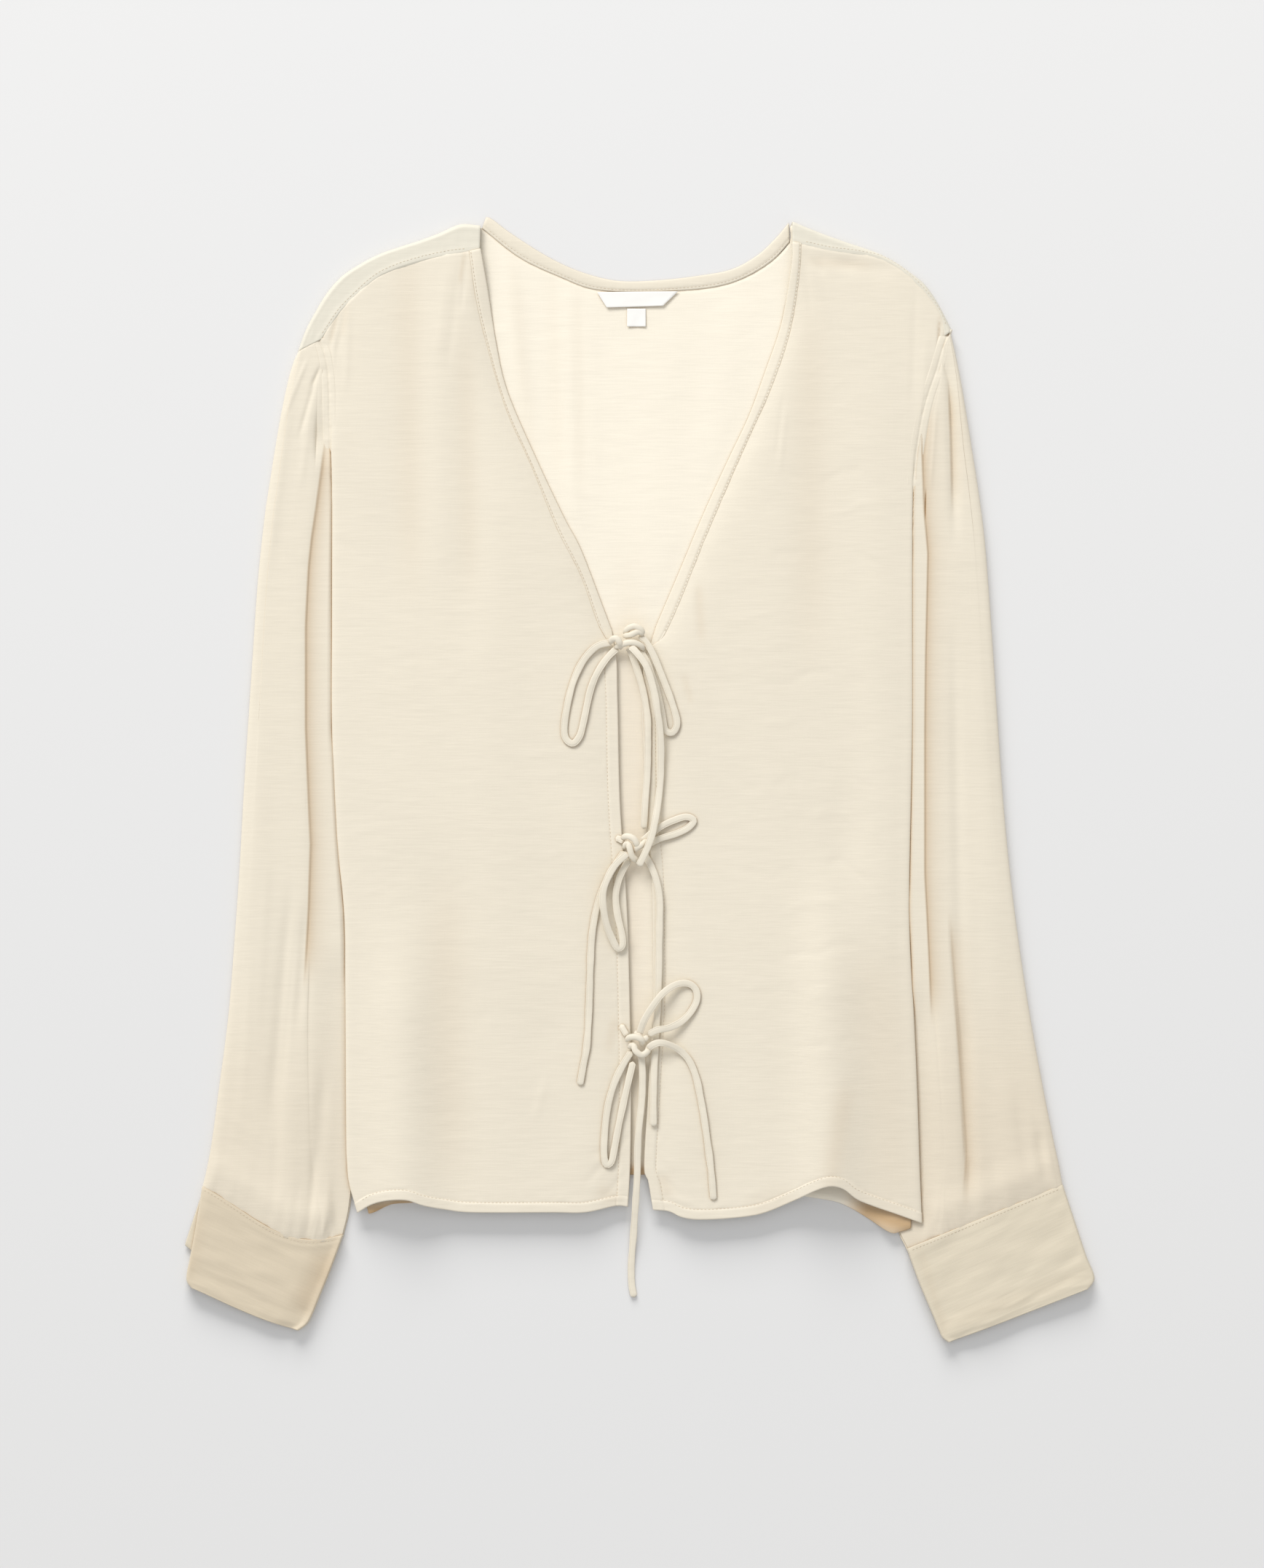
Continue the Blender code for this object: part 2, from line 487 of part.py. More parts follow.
def add_rows(bm, rows, closed=False):
    """Weave a grid of faces through rows of points given in millimetres."""
    grid = [[bm.verts.new(point * MM) for point in row] for row in rows]
    for upper, lower in zip(grid, grid[1:]):
        count = len(upper)
        for index in range(count if closed else count - 1):
            following = (index + 1) % count
            bm.faces.new((upper[index], upper[following], lower[following], lower[index]))


def cloth_object(name, collection, material, patches, wall, closed=False):
    """Open surface through patches of points, thickened to a wall about its middle."""
    bm = bmesh.new()
    for rows in patches:
        add_rows(bm, rows, closed)
    bmesh.ops.remove_doubles(bm, verts=bm.verts, dist=0.02 * MM)
    bmesh.ops.recalc_face_normals(bm, faces=bm.faces)
    mesh = bpy.data.meshes.new(name)
    bm.to_mesh(mesh)
    bm.free()
    mesh.materials.append(material)
    item = bpy.data.objects.new(name, mesh)
    collection.objects.link(item)
    solidify = item.modifiers.new("wall", "SOLIDIFY")
    solidify.thickness = wall * MM
    solidify.offset = 0.0
    return item


def seam_clearance(front, point):
    """Move a point of the first row off the shoulder seam, square to it."""
    nearest = min(front.seam.points, key=lambda end: (end - point.to_2d()).length)
    index = front.seam.points.index(nearest)
    ahead = front.seam.points[min(index + 1, len(front.seam.points) - 1)]
    behind = front.seam.points[max(index - 1, 0)]
    run = (ahead - behind).normalized()
    normal = Vector((-run.y, run.x))
    if normal.dot(front.plan(0.5, 0.5) - nearest) < 0.0:
        normal.negate()
    clear = normal * SEAM_GAP * 2.5
    return point + Vector((clear.x, clear.y, 0.0))


def front_rows(front):
    """Rows of a front panel from the shoulder seam to the hem."""
    rows = []
    shares = [front.stitched_share * row / V_ROWS for row in range(V_ROWS)]
    rest = 1.0 - front.stitched_share
    shares += [1.0 - rest * row / (CENTRE_ROWS - 1) for row in reversed(range(CENTRE_ROWS))]
    for down in shares:
        width = front.width(down)
        level = front.side.at(down).y
        turn = read_table(front.turn, level, 1)
        points = []
        for cut_s, cut_z, turned_s, turned_z in FRONT_SIDE_SECTION:
            inset = cut_s + (turned_s - cut_s) * turn
            z = cut_z + (turned_z - cut_z) * turn
            plan = front.plan(inset / width, down)
            rise = smoothstep(2.0, 17.0, inset) if z > 4.2 else 0.0
            z += (front.height(plan.x, plan.y) - FRONT_MID) * rise
            points.append(Vector((plan.x, plan.y, z)))
        start = FRONT_FIRST_COLUMN / width
        for column in range(FRONT_COLUMNS):
            left_over = 1.0 - column / (FRONT_COLUMNS - 1)
            share = 1.0 - left_over ** FRONT_COLUMN_CROWDING
            plan = front.plan(start + (1.0 - start) * share, down)
            points.append(Vector((plan.x, plan.y, front.height(plan.x, plan.y))))
        rows.append(points)
    rows[0] = [seam_clearance(front, point) for point in rows[0]]
    return rows


def make_front(name, front, collection, material):
    """One front panel, its side turned under over the sleeve."""
    cloth_object(name, collection, material, [front_rows(front)], WALL)


def make_front_binding(name, front, collection, material):
    """Narrow binding along one edge of the V, beside the front panel."""
    rows = []
    for row in range(BINDING_ROWS):
        share = row / (BINDING_ROWS - 1)
        edge = front.v_edge.at(share)
        stitch = front.inner.at(share * front.stitched_share)
        stitch = stitch + (edge - stitch).normalized() * SEAM_GAP * 2.2
        points = []
        for across in (0.0, 0.18, 0.5, 0.82, 1.0):
            plan = edge.lerp(stitch, across)
            rounding = 0.35 * (1.0 - (2.0 * across - 1.0) ** 4)
            z = front.height(plan.x, plan.y) - 0.1 + rounding
            points.append(Vector((plan.x, plan.y, z)))
        rows.append(points)
    cloth_object(name, collection, material, [rows], BINDING_WALL)


def make_neck_binding(collection, material):
    """Narrow binding round the back of the neck, lying on the floor with the back."""
    upper = Line(NECK_UPPER)
    lower = Line(NECK_LOWER)
    rows = []
    for row in range(NECK_COLUMNS):
        share = row / (NECK_COLUMNS - 1)
        start = upper.at(share)
        end = lower.at(share)
        middle = BINDING_WALL * 0.5
        rows.append([Vector((*start.lerp(end, t), middle)) for t in (0.0, 0.5, 1.0)])
    cloth_object("neck_binding_back", collection, material, [rows], BINDING_WALL)


def side_lift(turn_table, level, inset):
    """Height of the back's wall near a side, where it rises over the tucked sleeve."""
    turn = read_table(turn_table, level, 1)
    tuck = read_table(turn_table, level, 2)
    low = WALL * 0.5
    lifted = UNDER_SLEEVE_MID - low
    fall = smoothstep(tuck + 11.5, tuck + 2.5, inset)
    return low + lifted * turn * fall


def back_row(down, left, right, hem, top_points):
    """Row of the back panel at a share of its length below the top edge."""
    a = left.at(down)
    b = right.at(down)
    turned = BACK_TURNED_INSET - BACK_CUT_INSET
    start_a = BACK_CUT_INSET + turned * read_table(LEFT_SIDE_TURN, a.y, 1)
    start_b = BACK_CUT_INSET + turned * read_table(RIGHT_SIDE_TURN, b.y, 1)
    sides = len(BACK_SIDE_COLUMNS)
    first_top = top_points[sides - 1].x
    last_top = top_points[-sides].x
    inner_a = a.x + start_a + BACK_SIDE_COLUMNS[-1]
    inner_b = b.x - start_b - BACK_SIDE_COLUMNS[-1]
    points = []
    for column, top in enumerate(top_points):
        mirrored = len(top_points) - 1 - column
        if column < sides:
            x = a.x + start_a + BACK_SIDE_COLUMNS[column]
        elif mirrored < sides:
            x = b.x - start_b - BACK_SIDE_COLUMNS[mirrored]
        else:
            x = inner_a + (inner_b - inner_a) * (top.x - first_top) / (last_top - first_top)
        share = (x - a.x) / (b.x - a.x)
        above = top.y - top_points[0].lerp(top_points[-1], share).y
        below = hem.at(share).y - hem.at(0.0).lerp(hem.at(1.0), share).y
        y = a.y + (b.y - a.y) * share + above * (1.0 - down) + below * down
        table = LEFT_SIDE_TURN if share < 0.5 else RIGHT_SIDE_TURN
        points.append(Vector((x, y, side_lift(table, y, min(x - a.x, b.x - x)))))
    return points


def back_rows(top_points):
    """Rows of the back panel from its top edge to the hem."""
    left = Line(LEFT_BACK_SIDE)
    right = Line(RIGHT_BACK_SIDE)
    hem = Line(BACK_HEM)
    rows = [[Vector((top.x, top.y, WALL * 0.5)) for top in top_points]]
    for row in range(1, BACK_ROWS):
        rows.append(back_row(row / (BACK_ROWS - 1), left, right, hem, top_points))
    return rows


def edge_point(edge, share):
    """Point of the top edge with its direction into the cloth."""
    ahead = edge.at(min(1.0, share + 0.01))
    behind = edge.at(max(0.0, share - 0.01))
    run = (ahead - behind).normalized()
    normal = Vector((-run.y, run.x))
    if normal.y > 0.0:
        normal.negate()
    return edge.at(share), normal


def shoulder_wrap(edge, seam, shares):
    """Rows of a shoulder from the lower layer round its fold to the forward seam."""
    stations = [(*edge_point(edge, share), seam.at(share)) for share in shares]
    rows = []
    for angle in SHOULDER_ANGLES:
        turn = math.radians(angle)
        inset = SHOULDER_RADIUS * (1.0 - math.sin(turn))
        z = WALL * 0.5 + SHOULDER_RADIUS * (1.0 - math.cos(turn))
        plans = [outline + normal * inset for outline, normal, end in stations]
        rows.append([Vector((plan.x, plan.y, z)) for plan in plans])
    for share in SHOULDER_SHARES:
        row = []
        for outline, normal, end in stations:
            plan = outline.lerp(end, share)
            inset = min(SHOULDER_RADIUS, (end - outline).length * share)
            lean = 1.0 - inset / SHOULDER_RADIUS
            z = WALL * 0.5 + SHOULDER_RADIUS * (1.0 + math.sqrt(1.0 - lean * lean))
            row.append(Vector((plan.x, plan.y, z)))
        rows.append(row)
    return rows


def make_back(collection, material):
    """Back panel, with both shoulders wrapped forward to their seams."""
    left_edge = Line(LEFT_SHOULDER_EDGE)
    right_edge = Line(RIGHT_SHOULDER_EDGE)
    neck = Line(NECK_LOWER)
    rising = [index / (SHOULDER_COLUMNS - 1) for index in range(SHOULDER_COLUMNS)]
    falling = rising[::-1]
    top_points = []
    for share in falling:
        outline, normal = edge_point(left_edge, share)
        top_points.append(outline + normal * SHOULDER_RADIUS)
    for index in range(NECK_COLUMNS):
        outline, normal = edge_point(neck, index / (NECK_COLUMNS - 1))
        top_points.append(outline + normal * SEAM_GAP * 1.5)
    top_points[-1] += Vector((SEAM_GAP, 0.0))
    for share in rising:
        outline, normal = edge_point(right_edge, share)
        top_points.append(outline + normal * SHOULDER_RADIUS)
    patches = [
        back_rows(top_points),
        shoulder_wrap(left_edge, Line(LEFT_SHOULDER_SEAM), falling),
        shoulder_wrap(right_edge, Line(RIGHT_SHOULDER_SEAM), rising),
    ]
    cloth_object("back", collection, material, patches, WALL)


def sleeve_section(station):
    """Closed section of a flattened sleeve, from the outer fold round to it again."""
    outer_x, outer_y, inner_x, inner_y, valley, depth, thin, tuck, bow, drop = station
    outer = Vector((outer_x, outer_y))
    inner = Vector((inner_x, inner_y))
    width = (inner - outer).length
    low = WALL * 0.5
    inner_top = SLEEVE_MID - 0.5 + (TUCKED_MID - SLEEVE_MID + 0.5) * thin
    half = (inner_top - low) * 0.5
    valley_z = inner_top + (SLEEVE_MID - inner_top) * (1.0 - depth)
    roll = min(12.0, 0.35 * (width - valley))
    rest = width - valley - roll
    outer_half = (SLEEVE_MID - low) * 0.5
    section = [(width - share * width, low) for share in (0.78, 0.5, 0.25)]
    section += [
        (width - half, low),
        (width - 0.3 * half, low + 0.3 * half),
        (width, low + half),
        (width - 0.3 * half, low + 1.7 * half),
        (width - half, inner_top),
    ]
    for share in (0.45, 0.85):
        along = max(half + 0.1, valley * share)
        flat = smoothstep(tuck + 1.5, max(tuck + 3.0, valley), along)
        section.append((width - along, inner_top + (valley_z - inner_top) * flat))
    section.append((width - valley, valley_z))
    for share, rise in ((0.10, 0.45), (0.25, 0.8), (0.5, 0.96), (1.0, 1.0)):
        z = valley_z + (SLEEVE_MID - valley_z) * rise
        section.append((width - valley - roll * share, z))
    for share in (0.3, 0.6):
        section.append((rest * (1.0 - share), SLEEVE_MID))
    reach = min(outer_half * 2.6, rest * 0.3)
    section += [
        (reach, SLEEVE_MID - 0.15),
        (reach * 0.45, SLEEVE_MID - 0.5),
        (reach * 0.12, SLEEVE_MID - 1.3),
        (0.0, low + outer_half),
        (reach * 0.1, low + 0.9),
        (reach * 0.4, low),
    ]
    direction = (inner - outer) / width
    points = []
    for t, z in section:
        share = t / width
        plan = outer + direction * t
        plan.y -= bow * math.sin(math.pi * share ** 1.35)
        plan.y -= drop * share * smoothstep(low + 2.0 * half, low, z)
        if z > 3.0:
            weight = smoothstep(0.0, reach, t) * smoothstep(0.0, 6.0, width - t)
            z += fold_height(SLEEVE_FOLDS, plan.x, plan.y) * weight
        points.append(Vector((plan.x, plan.y, z)))
    return points


def make_sleeve(name, stations, collection, material):
    """One sleeve as an open tube through its stations."""
    rings = [sleeve_section(station) for station in stations]
    cloth_object(name, collection, material, [rings], WALL, closed=True)


def cuff_section(station):
    """Closed section of a flattened cuff."""
    outer_x, outer_y, inner_x, inner_y, bow = station
    outer = Vector((outer_x, outer_y))
    inner = Vector((inner_x, inner_y))
    width = (inner - outer).length
    low = CUFF_WALL * 0.5
    half = (CUFF_HEIGHT - CUFF_WALL) * 0.5
    section = [(width * share, low) for share in (0.22, 0.5, 0.75)]
    section += [
        (width - half, low),
        (width - 0.3 * half, low + 0.35 * half),
        (width, low + half),
        (width - 0.3 * half, low + 1.65 * half),
        (width - half, low + 2.0 * half),
    ]
    section += [(width * share, low + 2.0 * half) for share in (0.85, 0.7, 0.55, 0.4, 0.25, 0.1)]
    section += [
        (half, low + 2.0 * half),
        (0.3 * half, low + 1.65 * half),
        (0.0, low + half),
        (0.3 * half, low + 0.35 * half),
        (half, low),
    ]
    direction = (inner - outer) / width
    points = []
    for t, z in section:
        plan = outer + direction * t
        plan.y -= bow * math.sin(math.pi * (t / width) ** 1.35)
        points.append(Vector((plan.x, plan.y, z)))
    return points


def make_cuff(name, stations, collection, material):
    """One cuff as an open flattened tube of doubled cloth."""
    rings = [cuff_section(station) for station in stations]
    cloth_object(name, collection, material, [rings], CUFF_WALL, closed=True)


def make_plate(name, corners, base, collection, material):
    """Small flat piece of ribbon from its corners."""
    a, b, c, d = [Vector((x, y, base + LABEL_WALL * 0.5)) for x, y in corners]
    cloth_object(name, collection, material, [[[a, b], [d, c]]], LABEL_WALL)


def tube_object(name, route, diameter, collection, material):
    """Tie as a bevelled curve through a smooth line of its route's points."""
    line = Line(route)
    count = max(3, round(line.length / TIE_SPACING) + 1)
    curve = bpy.data.curves.new(name, "CURVE")
    curve.dimensions = "3D"
    curve.bevel_depth = diameter * 0.5 * MM
    curve.bevel_resolution = 2
    curve.use_fill_caps = True
    spline = curve.splines.new("POLY")
    spline.points.add(count - 1)
    for index in range(count):
        point = line.at(index / (count - 1)) * MM
        spline.points[index].co = (point.x, point.y, point.z, 1.0)
    curve.materials.append(material)
    item = bpy.data.objects.new(name, curve)
    collection.objects.link(item)
    return item


def make_knot(name, knot, collection, material):
    """Knot as a flattened ball where the ties are drawn together."""
    x, y, z, half_length, half_width, half_height, turn = knot
    bm = bmesh.new()
    bmesh.ops.create_uvsphere(bm, u_segments=16, v_segments=8, radius=1.0)
    for vertex in bm.verts:
        vertex.co.x *= half_length * MM
        vertex.co.y *= half_width * MM
        vertex.co.z *= half_height * MM
    mesh = bpy.data.meshes.new(name)
    bm.to_mesh(mesh)
    bm.free()
    mesh.materials.append(material)
    item = bpy.data.objects.new(name, mesh)
    item.location = (x * MM, y * MM, z * MM)
    item.rotation_euler = (0.0, 0.0, math.radians(turn))
    collection.objects.link(item)
    return item


def main():
    """Build every piece of the blouse."""
    clear_scene()
    collection = bpy.data.collections.new(COLLECTION_NAME)
    bpy.context.scene.collection.children.link(collection)
    front_cloth = make_material("cream_front", CREAM_FRONT)
    back_cloth = make_material("cream_back", CREAM_BACK)
    sleeve_cloth = make_material("cream_sleeve", CREAM_SLEEVE)
    tie_cloth = make_material("cream_tie", CREAM_TIE)
    ribbon = make_material("white_ribbon", WHITE_LABEL)

    make_back(collection, back_cloth)
    make_front("front_left", LEFT, collection, front_cloth)
    make_front("front_right", RIGHT, collection, front_cloth)
    make_front_binding("neck_binding_left", LEFT, collection, front_cloth)
    make_front_binding("neck_binding_right", RIGHT, collection, front_cloth)
    make_neck_binding(collection, back_cloth)
    make_sleeve("sleeve_left", LEFT_SLEEVE, collection, sleeve_cloth)
    make_sleeve("sleeve_right", RIGHT_SLEEVE, collection, sleeve_cloth)
    make_cuff("cuff_left", LEFT_CUFF, collection, sleeve_cloth)
    make_cuff("cuff_right", RIGHT_CUFF, collection, sleeve_cloth)
    make_plate("neck_label", LABEL_CORNERS, WALL + SEAM_GAP, collection, ribbon)
    make_plate("size_tag", TAG_CORNERS, WALL + SEAM_GAP, collection, ribbon)
    for place, knot in KNOTS.items():
        make_knot("tie_knot_" + place, knot, collection, tie_cloth)
    for name, route in TIES.items():
        tube_object(name, route, TIE_DIAMETER, collection, tie_cloth)
    for name, route in TIE_ROOTS.items():
        tube_object(name, route, TIE_DIAMETER * 0.8, collection, tie_cloth)


main()
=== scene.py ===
"""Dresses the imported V-neck blouse, laid out flat, in crepe cloth with tie bows.

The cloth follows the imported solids: a back panel lying lowest and wrapped forward
over the shoulders, two fronts on it, a sleeve at each side with its inner edge
under the body, cuffs, neck binding, labels, stitching and three tied bows.
Tables are in millimetres, in the part's own frame: +Y towards the neck, +Z up.
"""

import math

import bpy
import numpy as np
from mathutils.bvhtree import BVHTree
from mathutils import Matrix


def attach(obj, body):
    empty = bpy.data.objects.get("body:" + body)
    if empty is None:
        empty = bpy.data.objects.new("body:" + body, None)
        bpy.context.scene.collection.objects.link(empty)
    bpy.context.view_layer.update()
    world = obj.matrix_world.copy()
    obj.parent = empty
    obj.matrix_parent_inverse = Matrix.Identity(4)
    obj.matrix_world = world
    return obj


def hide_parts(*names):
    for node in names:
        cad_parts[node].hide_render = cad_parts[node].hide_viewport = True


bl_info = {
    "name": "Tie Front Blouse",
    "version": (1, 0, 0),
    "blender": (4, 5, 0),
    "location": "3D View > Sidebar > Blouse",
    "description": "Dresses a packed blouse in crepe cloth, stitching and tied bows",
    "category": "Object",
}

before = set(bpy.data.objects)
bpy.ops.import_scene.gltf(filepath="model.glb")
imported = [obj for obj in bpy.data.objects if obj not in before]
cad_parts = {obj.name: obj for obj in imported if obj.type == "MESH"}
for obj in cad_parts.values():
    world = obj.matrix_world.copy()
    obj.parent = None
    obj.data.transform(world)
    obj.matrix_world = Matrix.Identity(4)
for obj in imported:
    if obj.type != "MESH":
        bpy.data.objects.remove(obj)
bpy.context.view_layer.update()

MM = 0.001

# Heights of the middle of the cloth above the floor
BACK_MID = 0.4
FRONT_MID = 5.3
SHOULDER_RADIUS = 2.4
STITCHED_EDGE_DROP = 2.0
STITCHED_EDGE_SPREAD = 16.0
UNDER_SLEEVE_MID = 3.1
TUCKED_MID = 1.8
SLEEVE_MID = 5.3
CUFF_HEIGHT = 3.6
SEAM_GAP = 0.3

# Outline of the body: x, y
LEFT_SHOULDER_EDGE = (
    (-101, 351), (-108, 353.5), (-122, 348), (-136, 342.5), (-163, 333.5),
    (-178.5, 325.5), (-192.5, 315), (-203.5, 299), (-212, 283), (-216, 271.5),
)
RIGHT_SHOULDER_EDGE = (
    (96.5, 353.5), (112, 347), (128.5, 341), (152.5, 332.5), (169, 322.5),
    (181.5, 312), (189.5, 299), (195.5, 288), (197, 284.5),
)
LEFT_SHOULDER_SEAM = (
    (-101.5, 336.5), (-118.5, 333.5), (-136, 330), (-154, 324.5), (-168, 317.5),
    (-182, 305), (-191, 295.5), (-198, 285), (-202.5, 278.5),
)
RIGHT_SHOULDER_SEAM = (
    (96.5, 341), (120, 335.5), (136, 333.5), (152.5, 330), (165.5, 322.5),
    (178.5, 310.5), (188, 298), (192.5, 288.5), (193.5, 282),
)
LEFT_SIDE = (
    (-202.5, 278.5), (-198, 265.5), (-196, 248), (-196, 232), (-195.5, 208),
    (-195, 171.5), (-195, 100), (-195, 33.5), (-192, -35.5), (-187.5, -81.5),
    (-186.5, -127.5), (-186, -219.5), (-185.5, -240.5), (-184, -255.5), (-178.9, -273),
)
RIGHT_SIDE = (
    (193.5, 282), (189.5, 273.5), (188, 263.5), (182, 245), (177, 222),
    (173.5, 199), (172.5, 171.5), (172.5, 100), (172.5, 33.5), (170.5, -81.5),
    (173.5, -150.5), (175.5, -196.5), (177, -242.5), (178.5, -279.5),
)
LEFT_BACK_SIDE = ((-214.4, 272.2), (-199.6, 252.8), (-196, 245)) + LEFT_SIDE[3:]
RIGHT_BACK_SIDE = ((194.2, 284.8), (188.8, 274.8), (186.8, 264)) + RIGHT_SIDE[3:]

# Free edge of each front, from the shoulder seam down the V and the centre front: x, y
LEFT_V_EDGE = (
    (-101, 336), (-96.5, 310), (-90.5, 272.5), (-83.5, 244.5), (-66, 204),
    (-48.5, 167), (-37.5, 146), (-23.5, 109.5), (-18, 95),
)
RIGHT_V_EDGE = (
    (96.5, 340.5), (96, 325.5), (90, 290.5), (79.5, 259), (69, 230.5),
    (56.5, 204), (40.5, 169), (25, 132), (10.5, 98),
)
LEFT_V_STITCH = (
    (-108, 334.5), (-103, 301), (-94, 265.5), (-83.5, 232), (-69.5, 201),
    (-52, 158.5), (-37.5, 130), (-25.5, 97),
)
RIGHT_V_STITCH = (
    (102, 339.5), (100.5, 316.5), (94.5, 282), (83, 248), (70.5, 220),
    (56.5, 188.5), (40.5, 151), (26.5, 116), (15.5, 92),
)
LEFT_CENTRE = (
    (-16, 81), (-14.5, 52), (-13, -13), (-8.5, -82.5), (-6.5, -154),
    (-6, -201), (-6.5, -242.5), (-8, -269),
)
RIGHT_CENTRE = (
    (2.5, 72), (3.5, -12.5), (7.5, -56.5), (8.5, -104.5), (8.5, -141.5),
    (5.5, -196.5), (3, -243.5), (5.5, -253), (8.5, -271),
)

# Hems: x, y
LEFT_HEM = (
    (-178.9, -273), (-170, -267.6), (-160, -264.8), (-147.5, -264.4), (-136.5, -268),
    (-123.5, -270.5), (-105.5, -272.5), (-56, -272.5), (-35, -272.5), (-15.5, -268.5),
    (-8, -269),
)
RIGHT_HEM = (
    (178.5, -279.5), (162, -273.5), (149, -269), (137, -264), (128.5, -257.5),
    (120.5, -255.5), (111.5, -258), (97, -265), (77.5, -273), (58.5, -276),
    (37, -277), (26, -275.5), (18.5, -272), (8.5, -271),
)
BACK_HEM = (
    (-178.5, -276), (-169, -276), (-155, -270), (-128.5, -268.5), (-82.5, -259),
    (-36.5, -251), (-1.5, -250.5), (32.5, -251), (78.5, -257.5), (111, -263.5),
    (134, -268), (153.5, -281.5), (159, -286), (168, -284), (178.5, -279.5),
)

# Back neck binding, upper and lower edge: x, y
NECK_UPPER = (
    (-97, 356.5), (-93, 354.5), (-81, 345.5), (-58, 331), (-37, 321.5),
    (-14, 316), (12.5, 316.5), (39, 319.5), (58.5, 323.5), (74, 332),
    (84.5, 341.5), (91.5, 349.5), (94, 352.5),
)
NECK_LOWER = (
    (-99.5, 349.5), (-75.5, 331), (-49, 318.5), (-30, 311.5), (-5, 309.5),
    (25, 310.5), (48, 313), (65.5, 318.5), (83, 329), (94.5, 341),
)

# How far each body side is turned under, and how far the sleeve is tucked below it:
# y, turn from 0 (cut edge at the armhole) to 1, tuck
LEFT_SIDE_TURN = (
    (300, 0, 0), (232, 0, 0), (212, 1, 0), (190, 1, 5),
    (-255, 1, 5), (-300, 1, 5),
)
RIGHT_SIDE_TURN = (
    (300, 0, 0), (212, 0, 0), (190, 1, 0), (165, 1, 5),
    (-195, 1, 5.5), (-240, 1, 12.5), (-268, 1, 18), (-290, 1, 18),
)

# Section of a front's side: distance in from the side and height of the wall's middle,
# first as a cut edge at the armhole, then turned under over the sleeve
FRONT_SIDE_SECTION = (
    (0.5, 3.4, 7, 3.1), (0.8, 3.9, 4, 3.05), (1.4, 4.3, 1.6, 3.15), (2.2, 4.6, 0.5, 3.9),
    (3.5, 4.85, 1.6, 4.75), (6, 5.1, 4.5, 5.2), (10, 5.25, 10, 5.3), (16, 5.3, 17, 5.3),
)

# Broad folds of the fronts: start x, y, end x, y, half width, height
FRONT_FOLDS = (
    (-147, 330, -149, 130, 17, -1),
    (-110, 270, -108, 110, 13, -1.1),
    (-128, 300, -126, 150, 12, 0.6),
    (-128, -70, -120, -250, 20, -1.1),
    (-62, -150, -60, -250, 20, -0.7),
    (-150, -120, -147, -320, 20, 4.6),
    (-92, 150, -92, -120, 20, 0.8),
    (110, 290, 108, 90, 17, -1),
    (150, 230, 152, -200, 14, 0.9),
    (82, 120, 80, -160, 24, 0.7),
    (130, -10, 124, -180, 12, -0.8),
    (121, -90, 120.5, -320, 19, 6.4),
    (52, -170, 56, -260, 18, -0.8),
)

# Small creases of the fronts: start x, y, end x, y, half width, height
FRONT_CREASES = (
    (-109, 334, -113, 300, 1.6, -0.35), (-113, 330, -121, 268, 2.6, -0.30),
    (-108, 332, -106, 310, 1.4, 0.25), (-122, 320, -128, 270, 3.4, 0.22),
    (-190.5, 296, -196.5, 274, 1.5, -0.50), (-186.5, 300, -191, 272, 1.8, -0.35),
    (-184, 296, -186, 250, 2.2, 0.28), (-192.5, 285, -194, 262, 1.2, 0.25),
    (-194, 152, -180, 146, 1.6, -0.25), (-194, 140, -182, 132, 1.4, -0.22),
    (104, 332, 116, 322, 2.4, -0.45), (112, 330, 136, 326, 4, -0.60),
    (126, 326, 158, 323, 4.5, -0.50), (103, 330, 108, 300, 2, -0.28),
    (108, 322, 118, 292, 3, 0.25), (174, 306, 172, 240, 2.4, -0.25),
    (189.4, 288, 188.2, 268, 1, -0.60), (180.5, 276, 177.5, 210, 2.6, 0.30),
    (90, 240, 86.5, 208, 1.2, -0.25), (92, 232, 88, 196, 1.4, 0.22),
    (36, 120, 38, 88, 1.6, -0.30), (27, 66, 31, 46, 1.5, -0.25),
    (-60, -190, -66, -212, 2.2, 0.30), (-30, -236, -18, -232, 1.6, -0.40),
    (-32, -252, -10, -228, 1.8, -0.45), (-22, -262, -9, -248, 1.2, -0.35),
    (14, -250, 26, -262, 1.8, -0.35), (10, -236, 22, -252, 1.8, -0.30),
    (20, -262, 34, -268, 2, 0.30),
)

